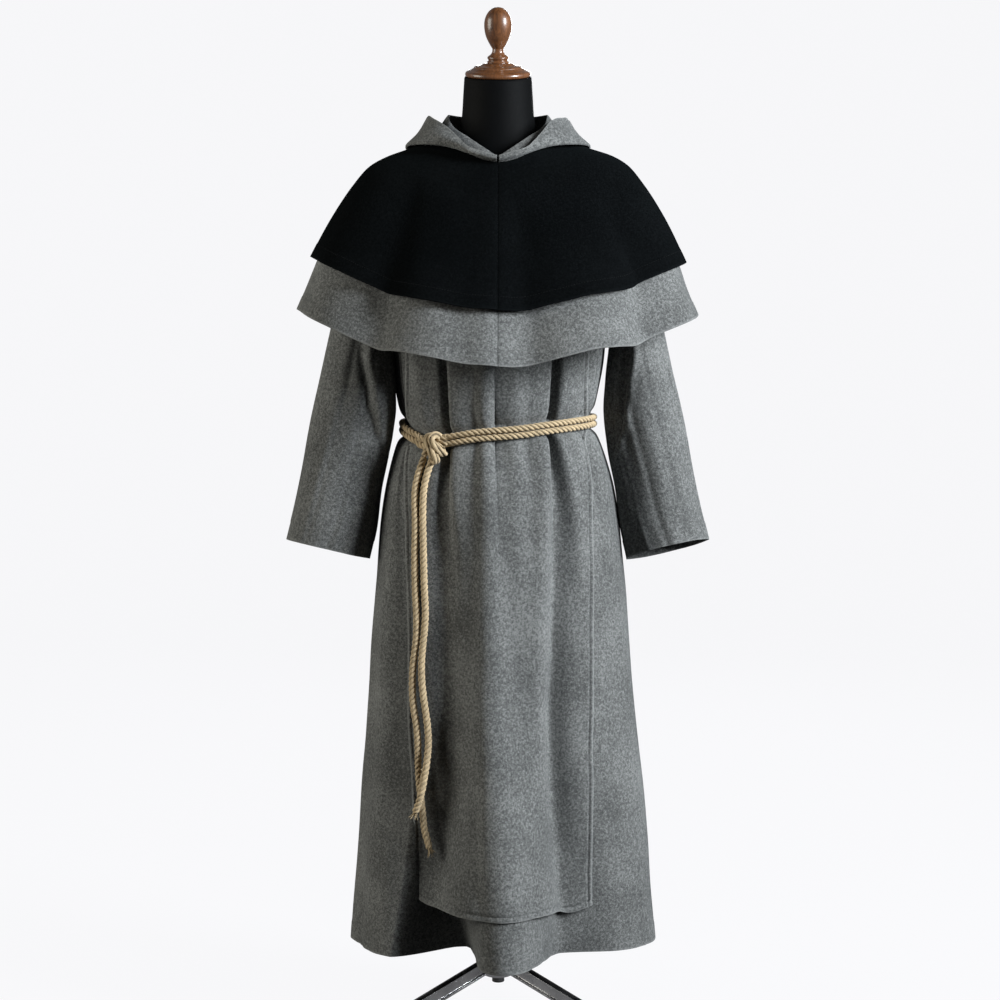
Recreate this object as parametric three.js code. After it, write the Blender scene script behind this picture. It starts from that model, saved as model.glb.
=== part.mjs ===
// Monk habit on a dress form stand: a grey wool tunic with sleeves and scapular, a grey and a black
// shoulder cape, a hood worn down and a doubled rope belt, on a limbless jersey-covered form whose
// slanted neck carries a turned wooden cap and finial, on a steel pole with three legs.
// Millimetres, +Z up, the garment faces -Y. Left and right are as seen from the front.
// The origin is on the floor, under the middle of the part's box.
//
// Every cloth surface is a set of rings round the pole's axis. Angle 0 is the centre front, 90 is the
// right side seam, -90 the left one and 180 the centre back. A ring has its own height and reach at the
// front, side and back, and a table has a row for each ring, from the neck down.
import * as THREE from 'three';

// ---- Driving dimensions ----
const AXIS_Y = -43;             // the garment's axis, forward of the middle of the three feet
const WOOL = 2.2;               // thickness of the grey and the black cloth
const SEAM = 0.3;               // gap between two pieces sewn together
const LAYER = 1.4;              // gap between two layers of cloth that lie on each other
const NECK_TOP = 1690;          // middle of the form's slanted neck plate
const NECK_SLANT = 15;          // degrees that the neck plate leans forward
const TUNIC_HEM = 186;
const KNEE_Z = 605;
const SCAPULAR_HEM = 275;
const ROPE_D = 11.5;
const BELT_Z = 1088;            // mean height of the rope belt
const POLE_D = 25;
const HUB_Z = 130;              // where the legs' centre lines meet the pole
const LEG_REACH = 310;
const FOOT_H = 14;
const LEG_ANGLES = { right: 60, back: 180, left: -60 };

const GREY = '#5f6163';
const BLACK = '#121315';
const rad = THREE.MathUtils.degToRad;

// ---- Tables: a row for each ring, from the neck down ----
// front, left, right and back are reaches from the axis, and frontZ and so on are the heights there.
// stripL and stripR are the scapular's half widths; point makes a ring's front and back more pointed.
const RING = ['frontZ', 'front', 'leftZ', 'left', 'rightZ', 'right', 'backZ', 'back'];
const level = (z, front, left, right, back, ...more) => [z, front, z, left, z, right, z, back, ...more];
const TUNIC = table([...RING, 'stripL', 'stripR', 'point'], [
  [1530,  99, 1576,  87, 1576,  87, 1563,  90, 150, 150, 1.00],   // neckline
  [1514, 105, 1566, 120, 1566, 120, 1549, 103, 150, 150, 1.00],   // yoke
  [1497, 111, 1554, 155, 1554, 155, 1531, 115, 150, 150, 1.00],
  [1478, 117, 1543, 186, 1543, 187, 1510, 125, 150, 150, 1.00],
  [1458, 122, 1527, 208, 1527, 208, 1486, 133, 150, 150, 1.00],   // shoulder point
  [1425, 127, 1485, 211, 1485, 211, 1450, 139, 150, 150, 1.00],   // armhole
  [1388, 131, 1415, 205, 1415, 204, 1403, 142, 150, 150, 1.00],
  level(1330, 134, 194, 190, 142, 150, 150, 1.00),                // underarm
  level(1215, 132, 185, 185, 130, 150, 150, 1.00),                // ribs
  level(1150, 127, 177, 176, 120, 150, 149, 1.00),
  level(1115, 121, 170, 169, 113, 149, 148, 1.00),
  level(1099, 114, 161, 161, 107, 148, 147, 1.00),                // groove under the belt
  level(1078, 113, 160, 160, 106, 148, 147, 1.00),
  level(1064, 119, 174, 172, 112, 149, 148, 1.00),
  level(1036, 127, 184, 184, 121, 151, 150, 1.00),                // hips
  level( 980, 138, 198, 201, 138, 152, 153, 1.00),
  level( 925, 144, 206, 210, 150, 150, 153.5, 1.00),
  level( 815, 148, 216, 222, 165, 148, 155.5, 1.05),
  level( 605, 150, 230, 241, 186, 146.5, 155, 1.10),                // knee
  level( 390, 142, 246, 263, 205, 135.5, 155, 1.10),
  level(SCAPULAR_HEM, 135, 254, 271, 213, 136, 155, 1.05),
  level(TUNIC_HEM, 130, 261, 278, 220, 136, 155, 1.00),
]);
const SHOULDER = 4;              // rows of the table above: the armhole runs from here to the underarm
const UNDERARM = 7;

const CAPE = table(RING, [
  [1531, 108, 1584,  92, 1584,  92, 1566,  99],   // neckline
  [1516, 114, 1573, 124, 1574, 124, 1551, 113],   // yoke
  [1498, 121, 1561, 159, 1563, 160, 1532, 126],
  [1476, 128, 1548, 193, 1551, 197, 1508, 137],
  [1451, 134, 1532, 217, 1536, 222, 1481, 146],   // shoulder
  [1405, 144, 1497, 245, 1500, 251, 1430, 158],
  [1348, 160, 1441, 278, 1442, 284, 1368, 172],   // upper arm
  [1278, 185, 1375, 309, 1368, 317, 1296, 192],   // under the black hem
  [1234, 200, 1332, 325, 1326, 331, 1252, 204],
  [1190, 214, 1289, 343, 1282, 350, 1205, 216],   // grey hem
]);
const BLACK_HEM = 7;
// How far the black cape stands off the grey one, at each ring
const BLACK_LIFT = [3.6, 3.6, 3.6, 3.6, 4.5, 6, 9, 13];

const FORM = table([...RING, 'slant'], [
  [NECK_TOP, 58, NECK_TOP, 58, NECK_TOP, 58, NECK_TOP, 58, NECK_SLANT],
  [1655, 60, 1658, 60, 1658, 60, 1660, 60, 8],
  [1622, 62, 1626, 62, 1626, 62, 1630, 62, 3],
  [1590, 65, 1600, 66, 1600, 66, 1604, 65, 0],
  [1566, 71, 1578, 74, 1578, 74, 1582, 71, 0],   // neck base
  [1542, 82, 1561, 92, 1561, 92, 1558, 82, 0],
  [1516, 92, 1551, 125, 1551, 125, 1538, 95, 0],
  [1490, 101, 1545.7, 160, 1545.7, 160, 1518, 107, 0],
  [1465, 109, 1533.6, 187, 1533.6, 187, 1492, 118, 0],
  [1440, 114, 1510, 197, 1510, 197, 1460, 126, 0],  // shoulder
  [1400, 119, 1455, 193, 1455, 193, 1415, 130, 0],
  [1350, 123, 1375, 183, 1375, 183, 1360, 131, 0],
  [1300, 122, 1300, 175, 1300, 175, 1300, 126, 0],  // chest
  [1200, 115, 1200, 162, 1200, 162, 1200, 112, 0],
  [1088, 98, 1088, 146, 1088, 146, 1088, 93, 0],  // waist
  [1000, 106, 1000, 160, 1000, 160, 1000, 110, 0],
  [910, 114, 910, 172, 910, 172, 910, 127, 0],  // hips
  [845, 115, 845, 172, 845, 172, 845, 130, 0],
  [829, 107, 829, 164, 829, 164, 829, 122, 0],
]);

// Folds of the skirt, shared by the tunic and the scapular over it: angle and half width in degrees, and
// how far the cloth stands out (+) or in (-), at the belt, the knee and the hem, and above the belt.
const FOLD = ['belt', 'knee', 'hem', 'widthBelt', 'widthHem', 'outBelt', 'outKnee', 'outHem', 'outChest'];
const SHARED_FOLDS = table(FOLD, [
  [  -1,   -1,    0, 10, 22,   3, 28, 112,  2],   // the long ridge that carries the front
  [ -46,  -40,  -38,  5,  8,   2,  4,  0,   4],
  [ -31,  -22,  -20,  7,  9,  -9, -9, -4,  -6],
  [  -5,   -5,   -6,  4,  7,   4,  3, -2,   4],
  [   3,    5,    4,  4,  6,  -6, -4,  0,  -4],
  [  24,   17,   15,  6,  8,   6,  6,  2,   4],
  [  36,   26,   25,  6,  8, -10, -14, -10, -8],
  [  60,   47,   40,  9, 10,   6,  6,  3,   4],
  [-152, -146, -142,  9,  9,   5,  9, 16,   3],
  [-166, -164, -160,  7,  8,  -7, -6, -12, -5],
  [ 176,  176,  178,  9, 10,   4,  9, 18,   2],
  [ 160,  157,  156,  7,  8,  -8, -7, -12, -6],
  [ 142,  138,  134,  9,  9,   4,  8, 14,   3],
]);
const TUNIC_FOLDS = table(FOLD, [
  [ -80,  -76,  -78,  8,  8,   2,  0, -8,   2],
  [ -60,  -56,  -52,  9, 15,   3,  7, 24,   2],   // left lobe of the hem
  [ -46,  -40,  -36,  8,  8,  -5, -8, -6,  -3],
  [  52,   48,   44,  7,  8,  -4, -4, -4,  -4],
  [  74,   68,   62, 10, 11,   3,  5,  8,   2],
  [ 118,  114,  112,  9,  9,   4,  8, 14,   2],
  [ 100,   98,   96,  8,  8,  -3, -5, -8,  -2],
  [-118, -114, -112,  9,  9,   4,  8, 14,   2],
  [-100,  -98,  -96,  8,  8,  -3, -5, -8,  -2],
]);
// How far the tunic's hem stands out from its ring in front, between the side seams: the left lobe, the
// hollow beside it, the long ridge and the shallow hollow on the right. It fades out upwards at HEM_TOP.
const HEM_TOP = 640;
const HEM_FADE = 1.3;
const HEM_OUT = table(['angle', 'out'], [
  [-88, 0], [-67, 2], [-51, 24], [-40, 39], [-35.5, 40], [-33, 24], [-31.6, 4], [-30.2, -24], [-28.8, -48],
  [-26.5, -62], [-22, -65], [-16, -51], [-12.5, -32], [-9.7, -12], [-7.8, 8], [-6.3, 33], [-5, 58], [-3.6, 80],
  [-1.3, 94], [1, 100], [3.4, 96], [5.7, 84], [8.3, 64], [12.8, 33], [20, -2], [25.6, -14], [33.7, -10],
  [39.3, -1], [45, 8], [53.6, 11], [64, 9], [72, 7], [88, 0],
]);
// The belt's height round the waist, low at the knot
const BELT_LINE = table(['angle', 'z'], [
  [-180, 1094], [-130, 1092], [-90, 1089], [-69, 1083], [-52, 1069], [-40, 1063], [-27, 1068], [-10, 1076],
  [10, 1081], [31, 1089], [68, 1097], [90, 1099], [130, 1098], [180, 1094],
]);
// Soft waves of both capes: angle and half width in degrees, and how far they stand out at the hem
const CAPE_WAVES = table(['angle', 'width', 'out'], [
  [-63, 11, 7], [-40, 8, -13], [-20, 10, 7], [-4, 5, 5], [9, 6, -10], [29, 12, 12], [49, 7, -13], [66, 9, 8],
  [98, 13, -7], [128, 12, 8], [152, 9, -9], [172, 10, 8], [-166, 8, -9], [-142, 12, 8], [-116, 11, -8],
  [-90, 11, 5],
]);

// Hood, worn down: at each angle the pocket side of the cloth, from its crest round the neck, down the
// inner layer to the fold that lies on the cape, and up the outer layer to the rim. R is from the axis.
const HOOD = table(['angle', 'crestR', 'crestZ', 'innerR', 'innerZ', 'foldR', 'foldZ', 'outerR', 'outerZ',
  'rimR', 'rimZ'], [
  [  2, 108, 1542, 113, 1540, 118, 1535, 121, 1537, 119, 1541],
  [ 12, 103, 1556, 108, 1552, 116, 1540, 121, 1542, 119, 1548],
  [ 23,  97, 1568, 103, 1563, 114, 1547, 121, 1549, 119, 1556],
  [ 34,  93, 1579, 101, 1573, 115, 1555, 120, 1562, 114, 1572],
  [ 51,  89, 1592, 100, 1584, 127, 1565, 126, 1575, 109, 1589],
  [ 70,  86, 1607, 100, 1597, 147, 1570, 135, 1584, 113, 1608],
  [ 90,  85, 1625, 110, 1595, 157, 1573, 138, 1592, 119, 1622],
  [120,  84, 1629, 126, 1590, 171, 1561, 158, 1590, 137, 1620],
  [150,  83, 1630, 158, 1538, 198, 1450, 202, 1530, 154, 1612],
  [180,  82, 1630, 154, 1518, 188, 1394, 212, 1480, 162, 1602],
]);
const HOOD_POINTS = ['crest', 'inner', 'fold', 'outer', 'rim'];

// Sleeve, from the armhole down: outer and inner edge in x and z, and half depth
const SLEEVE = table(['outerX', 'outerZ', 'innerX', 'innerZ', 'depth'], [
  [211, 1526, 196, 1322, 58],   // armhole
  [222, 1514, 198, 1309, 61],
  [233, 1490, 198, 1296, 62],
  [248, 1440, 197, 1275, 61],
  [265, 1360, 194, 1232, 60],
  [288, 1258, 187, 1176, 58],
  [304, 1183, 183, 1120, 56],
  [324, 1092, 190, 1050, 55],
  [343, 1002, 204,  978, 55],
  [358,  940, 211,  918, 56],
  [373,  890, 225,  857, 57],   // cuff
]);
const SLEEVE_Y = -8;            // the sleeves hang a little forward of the side seams
// How much lower than its middle the cuff's back edge hangs
const CUFF_DROP = { left: 5, right: 12 };

// Rope ends, from the knot down, hand laid on the front of the scapular: x, y and z
const KNOT = new THREE.Vector3(-113, -108, 1060);
const TAIL_LONG = [
  [-124, -103, 1039.5], [-132, -105, 1018], [-139, -109, 990], [-140, -115, 962], [-139, -122, 927],
  [-140, -124, 887], [-140, -126, 846], [-139, -128, 805], [-137, -130, 770], [-138, -130, 729],
  [-143, -129, 693], [-145, -129, 652], [-143, -131, 617], [-137, -134, 582], [-135, -135, 546],
  [-135, -134, 511], [-132, -135, 475], [-128, -137, 440], [-124, -138, 405], [-119, -140.5, 388],
  [-115, -143.5, 376],
];
const TAIL_SHORT = [
  [-111, -109, 1034.8], [-118, -112, 1016], [-124, -115, 988], [-126, -121, 952], [-126, -127, 912],
  [-125, -130, 866], [-124, -132, 820], [-122, -134, 780], [-124, -134, 744], [-128, -134, 708],
  [-129, -135, 673], [-126, -137, 637], [-120, -140, 597], [-117, -141, 561], [-120, -146, 524],
  [-126, -152, 488], [-133, -151, 457], [-140, -147, 439],
];

// ---- Small tools ----
// Turns rows of numbers into rows with named columns.
function table(columns, rows) {
  return rows.map((row) => Object.fromEntries(columns.map((name, i) => [name, row[i]])));
}

// A column's value between two rows, on a smooth curve that never overshoots.
function at(rows, column, place) {
  const i = Math.min(Math.max(Math.floor(place), 0), rows.length - 2);
  const t = place - i;
  const value = (k) => rows[Math.min(Math.max(k, 0), rows.length - 1)][column];
  const step = value(i + 1) - value(i);
  const slope = (before, after) => (before * after > 0 ? 2 * before * after / (before + after) : 0);
  const start = i > 0 ? slope(value(i) - value(i - 1), step) : step;
  const end = i < rows.length - 2 ? slope(step, value(i + 2) - value(i + 1)) : step;
  const h = t * t * (3 - 2 * t);
  return value(i) + step * h + (t - 2 * t * t + t * t * t) * start + (t * t * t - t * t) * end;
}

const mix = (a, b, t) => a + (b - a) * t;

// The place in a table where its first column reaches a value.
function placeOf(rows, column, value) {
  const i = rows.findIndex((row, k) => k === rows.length - 2 || rows[k + 1][column] >= value);
  return i + (value - rows[i][column]) / (rows[i + 1][column] - rows[i][column]);
}

const bump = (x) => Math.exp(-x * x);
const turnTo = (angle, target) => ((angle - target + 540) % 360) - 180;

// A point of a ring, before any fold.
function ringPoint(rows, place, angle) {
  const a = rad(angle);
  const c = Math.cos(a);
  const face = c > 0 ? 'front' : 'back';
  const side = Math.sin(a) < 0 ? 'left' : 'right';
  const point = rows[0].point ? at(rows, 'point', place) : 1;
  const x = at(rows, side, place) * Math.sin(a);
  const y = -Math.sign(c) * at(rows, face, place) * Math.abs(c) ** point;
  const z = mix(at(rows, side + 'Z', place), at(rows, face + 'Z', place), c * c);
  const slant = rows[0].slant === undefined ? 0 : at(rows, 'slant', place);
  return new THREE.Vector3(x, y, z + y * Math.tan(rad(slant)));
}

const beltHeight = (angle) => at(BELT_LINE, 'z', placeOf(BELT_LINE, 'angle', turnTo(angle, 0)));

// How much of the way from one height down to another a point has come.
const between = (z, high, low) => THREE.MathUtils.clamp((high - z) / (high - low), 0, 1);

// How far the folds stand out at an angle and a height. Under the belt they are pressed flat.
function foldDepth(folds, angle, z) {
  const toKnee = between(z, BELT_Z, KNEE_Z);
  const toHem = between(z, KNEE_Z, TUNIC_HEM) ** 1.4;
  const down = (belt, knee, hem) => mix(mix(belt, knee, toKnee), hem, toHem);
  const free = 0.35 + 0.65 * Math.min(Math.abs(z - BELT_Z) / 45, 1);
  return folds.reduce((sum, f) => {
    const out = z > BELT_Z ? f.outChest * between(z, 1420, 1300) : down(f.outBelt, f.outKnee, f.outHem);
    const width = down(f.widthBelt, f.widthBelt, f.widthHem);
    return sum + out * free * bump(turnTo(angle, down(f.belt, f.knee, f.hem)) / width);
  }, 0);
}

// The hem's outline takes over from the long folds towards the floor.
function hemDepth(angle, z, shared) {
  const turned = turnTo(angle, 0);
  const [first, last] = [HEM_OUT[0].angle, HEM_OUT.at(-1).angle];
  if (turned <= first || turned >= last) return 0;
  const target = at(HEM_OUT, 'out', placeOf(HEM_OUT, 'angle', turned));
  return (target - shared) * between(z, HEM_TOP, TUNIC_HEM) ** HEM_FADE;
}

// A point of the tunic's outer surface. The folds move it outwards from the axis.
function tunicPoint(place, angle, folds) {
  const p = ringPoint(TUNIC, place, angle);
  const near = bump((p.z - BELT_Z) / 90);
  const shared = folds.reduce((sum, list) => sum + foldDepth(list, angle, p.z), 0);
  const out = shared + (folds.includes(TUNIC_FOLDS) ? hemDepth(angle, p.z, shared) : 0);
  const flat = Math.hypot(p.x, p.y);
  const lift = near * (beltHeight(angle) - BELT_Z);
  return new THREE.Vector3(p.x * (1 + out / flat), p.y * (1 + out / flat), p.z + lift);
}

// The scapular's edge angle at a ring, on the left (-1) or the right (1) half, capped at the shoulder.
function stripAngle(place, half, cap) {
  const reach = at(TUNIC, half < 0 ? 'left' : 'right', place);
  const strip = at(TUNIC, half < 0 ? 'stripL' : 'stripR', place);
  return half * Math.min(THREE.MathUtils.radToDeg(Math.asin(Math.min(strip / reach, 1))), cap);
}

// ---- Meshes ----
// A closed mesh from points and triangles.
function mesh(points, triangles) {
  const geometry = new THREE.BufferGeometry();
  geometry.setAttribute('position', new THREE.Float32BufferAttribute(points.flatMap((p) => [p.x, p.y, p.z]), 3));
  geometry.setIndex(triangles.flat());
  return geometry;
}

// The normal of a grid of points at a row and column, out of the visible side.
function gridNormal(grid, r, c, wraps) {
  const last = grid[0].length - 1;
  const row = (k) => grid[Math.min(Math.max(k, 0), grid.length - 1)];
  const col = (k) => (wraps ? (k + last + 1) % (last + 1) : Math.min(Math.max(k, 0), last));
  const down = new THREE.Vector3().subVectors(row(r + 1)[c], row(r - 1)[c]);
  const across = new THREE.Vector3().subVectors(grid[r][col(c + 1)], grid[r][col(c - 1)]);
  return down.cross(across).normalize();
}

// Moves a grid along its normals. seam(r) names the axis across a sewn edge, which stays in its plane.
function offsetGrid(grid, distance, { wraps = false, seam = () => null } = {}) {
  return grid.map((line, r) => line.map((p, c) => {
    const away = typeof distance === 'function' ? distance(r) : distance;
    const normal = gridNormal(grid, r, c, wraps);
    if (seam(r) && (c === 0 || c === line.length - 1)) normal[seam(r)] = 0;
    return p.clone().addScaledVector(normal.normalize(), away);
  }));
}

// A wall of cloth: the grid is its visible side, and the other side lies one thickness behind it.
function wall(grid, thickness, edges = {}) {
  const rows = grid.length;
  const cols = grid[0].length;
  const wraps = edges.wraps;
  const behind = offsetGrid(grid, -thickness, edges);
  const points = [...grid.flat(), ...behind.flat()];
  const face = (r, c) => r * cols + (c % cols);
  const back = (r, c) => rows * cols + face(r, c);
  const triangles = [];
  const quad = (a, b, c, d) => triangles.push([a, b, c], [a, c, d]);
  const spans = wraps ? cols : cols - 1;
  for (let r = 0; r < rows - 1; r++) {
    for (let c = 0; c < spans; c++) {
      quad(face(r, c), face(r + 1, c), face(r + 1, c + 1), face(r, c + 1));
      quad(back(r, c), back(r, c + 1), back(r + 1, c + 1), back(r + 1, c));
    }
    if (!wraps) {
      quad(face(r, 0), back(r, 0), back(r + 1, 0), face(r + 1, 0));
      quad(face(r, cols - 1), face(r + 1, cols - 1), back(r + 1, cols - 1), back(r, cols - 1));
    }
  }
  for (let c = 0; c < spans; c++) {
    quad(face(0, c), face(0, c + 1), back(0, c + 1), back(0, c));
    quad(face(rows - 1, c), back(rows - 1, c), back(rows - 1, c + 1), face(rows - 1, c + 1));
  }
  return mesh(points, triangles);
}

// A solid body through closed rings of points, from the top down.
function body(rings) {
  const cols = rings[0].length;
  const middle = (ring) => ring.reduce((sum, p) => sum.add(p), new THREE.Vector3()).divideScalar(cols);
  const points = [...rings.flat(), middle(rings[0]), middle(rings.at(-1))];
  const top = points.length - 2;
  const bottom = points.length - 1;
  const triangles = [];
  for (let c = 0; c < cols; c++) {
    const next = (c + 1) % cols;
    for (let r = 0; r < rings.length - 1; r++) {
      const [a, b] = [r * cols, (r + 1) * cols];
      triangles.push([a + c, b + c, b + next], [a + c, b + next, a + next]);
    }
    const low = (rings.length - 1) * cols;
    triangles.push([top, c, next], [bottom, low + next, low + c]);
  }
  return mesh(points, triangles);
}

// A rope: a round section swept along a smooth curve.
function rope(points, diameter, steps, sides = 8) {
  const section = new THREE.Shape();
  for (let k = 0; k < sides; k++) {
    const a = 2 * Math.PI * k / sides;
    section[k ? 'lineTo' : 'moveTo'](diameter / 2 * Math.cos(a), diameter / 2 * Math.sin(a));
  }
  const path = new THREE.CatmullRomCurve3(points);
  return new THREE.ExtrudeGeometry(section, { steps, extrudePath: path });
}

const range = (from, to, count) => Array.from({ length: count + 1 }, (_, k) => mix(from, to, k / count));

// ---- Part ----
const part = new THREE.Group();
part.position.y = AXIS_Y;

function add(name, geometry, material, parent = part) {
  const piece = new THREE.Mesh(geometry, material);
  piece.name = name;
  parent.add(piece);
  return piece;
}

const wool = new THREE.MeshStandardMaterial({ color: GREY, roughness: 0.95 });
const blackWool = new THREE.MeshStandardMaterial({ color: BLACK, roughness: 0.95 });
const jersey = new THREE.MeshStandardMaterial({ color: '#0d0f10', roughness: 0.8 });
const jute = new THREE.MeshStandardMaterial({ color: '#c9ab7c', roughness: 0.9 });
const wood = new THREE.MeshStandardMaterial({ color: '#6b3f20', roughness: 0.35 });
const steel = new THREE.MeshStandardMaterial({ color: '#b9bbbd', roughness: 0.3, metalness: 1 });
const rubber = new THREE.MeshStandardMaterial({ color: '#1b1b1c', roughness: 0.7 });

// ---- Tunic ----
const SIDE_COLUMNS = 6;
const STRIP_COLUMNS = 15;
const SEAM_ANGLE = 0.06;        // half of the side seam's gap, in degrees
const STRIP_CAP = 88;           // the scapular runs out to the shoulder seam

const openArm = (place) => place > SHOULDER && place < UNDERARM;

// The angle of a panel's column at a ring. Columns follow the scapular's edges, and stop at the armhole.
function columnAngle(place, column, cap) {
  const notch = openArm(place) ? 66 : 90 - SEAM_ANGLE;
  const left = stripAngle(place, -1, cap);
  const right = stripAngle(place, 1, cap);
  if (column < SIDE_COLUMNS) return mix(-notch, left, column / SIDE_COLUMNS);
  const strip = column - SIDE_COLUMNS;
  if (strip <= STRIP_COLUMNS) return mix(left, right, strip / STRIP_COLUMNS);
  return mix(right, notch, (strip - STRIP_COLUMNS) / SIDE_COLUMNS);
}

// The back panel's columns run round the back, from the right side seam to the left one.
function backAngle(place, column, cap) {
  const mirrored = columnAngle(place, 2 * SIDE_COLUMNS + STRIP_COLUMNS - column, cap);
  return 180 - mirrored;
}

const TUNIC_ROWS = [0, 1, 2, 3, 4, 5, 6, 7, 8, 10, 11, 12, 13, 14, 16, 17, 18, 19, 20, 21];
const PANEL_COLUMNS = range(0, 2 * SIDE_COLUMNS + STRIP_COLUMNS, 2 * SIDE_COLUMNS + STRIP_COLUMNS);

function tunicPanel(angleOf) {
  return TUNIC_ROWS.map((place) => PANEL_COLUMNS.map((column) =>
    tunicPoint(place, angleOf(place, column, STRIP_CAP), [SHARED_FOLDS, TUNIC_FOLDS])));
}
// The two panels are sewn at the shoulders and sides, and open at the armholes.
const sideSeams = { seam: (r) => (openArm(TUNIC_ROWS[r]) ? null : 'y') };
add('tunic_front', wall(tunicPanel(columnAngle), WOOL, sideSeams), wool);
add('tunic_back', wall(tunicPanel(backAngle), WOOL, sideSeams), wool);

// ---- Scapular ----
// It lies on the tunic: the same points, without the tunic's own folds where they would reach past it.
const SCAPULAR_ROWS = TUNIC_ROWS.slice(0, -1);

const shoulderSeams = { seam: (r) => (SCAPULAR_ROWS[r] < 3 ? 'y' : null) };

function scapularPanel(angleOf) {
  const columns = PANEL_COLUMNS.slice(SIDE_COLUMNS, SIDE_COLUMNS + STRIP_COLUMNS + 1);
  const under = SCAPULAR_ROWS.map((place) => columns.map((column) => {
    const angle = angleOf(place, column, 90 - SEAM_ANGLE);
    const own = tunicPoint(place, angle, [SHARED_FOLDS, TUNIC_FOLDS]);
    const shared = tunicPoint(place, angle, [SHARED_FOLDS]);
    return Math.hypot(own.x, own.y) > Math.hypot(shared.x, shared.y) ? own : shared;
  }));
  return offsetGrid(under, LAYER + WOOL, shoulderSeams);
}
add('scapular_front', wall(scapularPanel(columnAngle), WOOL, shoulderSeams), wool);
add('scapular_back', wall(scapularPanel(backAngle), WOOL, shoulderSeams), wool);

// ---- Sleeves ----
const SLEEVE_SIDES = 14;

function sleeve(half, drop) {
  const rows = SLEEVE.map((row, place) => {
    const down = place / (SLEEVE.length - 1);
    return Array.from({ length: SLEEVE_SIDES }, (_, k) => {
      const a = -half * 2 * Math.PI * k / SLEEVE_SIDES;
      const reach = 0.5 + 0.5 * Math.cos(a);
      const x = mix(row.innerX, row.outerX, reach);
      const behind = -half * Math.sin(a);
      const z = mix(row.innerZ, row.outerZ, reach) - drop * down ** 4 * behind;
      return new THREE.Vector3(half * x, SLEEVE_Y * down + row.depth * behind, z);
    });
  });
  return wall(rows, WOOL, { wraps: true });
}
add('sleeve_left', sleeve(-1, CUFF_DROP.left), wool);
add('sleeve_right', sleeve(1, CUFF_DROP.right), wool);

// ---- Capes ----
const CAPE_COLUMNS = 14;

function capePoint(place, angle) {
  const p = ringPoint(CAPE, place, angle);
  const down = THREE.MathUtils.clamp((place - 3) / (BLACK_HEM - 3), 0, 1.2);
  const out = CAPE_WAVES.reduce((sum, w) => sum + w.out * bump(turnTo(angle, w.angle) / w.width), 0) * down;
  const flat = Math.hypot(p.x, p.y);
  return new THREE.Vector3(p.x * (1 + out / flat), p.y * (1 + out / flat), p.z + 0.3 * out);
}

function capeGrid(half, rows) {
  const gap = 0.1;
  const [from, to] = half > 0 ? [gap, 180 - gap] : [180 + gap, 360 - gap];
  return rows.map((place) => range(from, to, CAPE_COLUMNS).map((angle) => capePoint(place, angle)));
}
const middleSeams = { seam: () => 'x' };
const greyRows = range(0, CAPE.length - 1, CAPE.length - 1);
const blackRows = range(0, BLACK_HEM, BLACK_HEM);
for (const [name, half] of [['left', -1], ['right', 1]]) {
  add(`cape_lower_${name}`, wall(capeGrid(half, greyRows), WOOL, middleSeams), wool);
  const black = offsetGrid(capeGrid(half, blackRows), (r) => BLACK_LIFT[r], middleSeams);
  add(`cape_upper_${name}`, wall(black, WOOL, middleSeams), blackWool);
}

// ---- Hood ----
const HOOD_COLUMNS = 12;
const HOOD_STEPS = 10;
const HOOD_LIFT = 1.2;          // the hood's seam stands on the grey cape's neckline

function hood(half) {
  const angles = range(0, HOOD.length - 1, HOOD_COLUMNS);
  const curves = angles.map((place) => {
    const a = rad(at(HOOD, 'angle', place) - (place === HOOD.length - 1 ? 0.1 : 0));
    const seam = ringPoint(CAPE, 0, half * THREE.MathUtils.radToDeg(a));
    seam.multiply(new THREE.Vector3(0.98, 0.98, 1)).z += HOOD_LIFT;
    return new THREE.CatmullRomCurve3([seam, ...HOOD_POINTS.map((name) => {
      const r = at(HOOD, name + 'R', place);
      return new THREE.Vector3(half * r * Math.sin(a), -r * Math.cos(a), at(HOOD, name + 'Z', place));
    })]);
  });
  if (half < 0) curves.reverse();
  return wall(range(0, 1, HOOD_STEPS).map((t) => curves.map((curve) => curve.getPoint(t))), WOOL,
    middleSeams);
}
add('hood_left', hood(-1), wool);
add('hood_right', hood(1), wool);

// ---- Rope belt ----
// Two runs of rope, one above the other, round the waist from one side of the knot to the other.
const BELT_START = -32;
const BELT_END = -49 + 360;
const BELT_CLEAR = ROPE_D / 2 + 1.6;               // from the cloth to the middle of the rope
const BELT_OVER_STRIP = WOOL + LAYER + 1.9;       // and where it crosses the scapular

function beltPath(lift) {
  return range(BELT_START, BELT_END, 36).map((angle) => {
    const p = ringPoint(TUNIC, 11.5, angle);
    const flat = Math.hypot(p.x, p.y);
    const offSide = between(Math.abs(Math.sin(rad(angle))), 1, 0.93);
    const out = 1 + (BELT_CLEAR + BELT_OVER_STRIP * offSide) / flat;
    return new THREE.Vector3(p.x * out, p.y * out, beltHeight(angle) + lift);
  });
}
add('belt_upper', rope(beltPath(ROPE_D / 2 + 0.4), ROPE_D, 48), jute);
add('belt_lower', rope(beltPath(-ROPE_D / 2 - 0.4), ROPE_D, 48), jute);

const knot = new THREE.SphereGeometry(1, 16, 10);
knot.scale(17, 13, 24);
add('belt_knot', knot, jute).position.copy(KNOT);

const vectors = (rows) => rows.map((row) => new THREE.Vector3(...row));
add('rope_tail_long', rope(vectors(TAIL_LONG), ROPE_D, 24), jute);
add('rope_tail_short', rope(vectors(TAIL_SHORT), ROPE_D, 21), jute);

// ---- Dress form ----
const FORM_SIDES = 28;
add('form_torso', body(FORM.map((_, place) =>
  range(0, 360, FORM_SIDES).slice(0, -1).map((angle) => ringPoint(FORM, place, angle)))), jersey);

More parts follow.
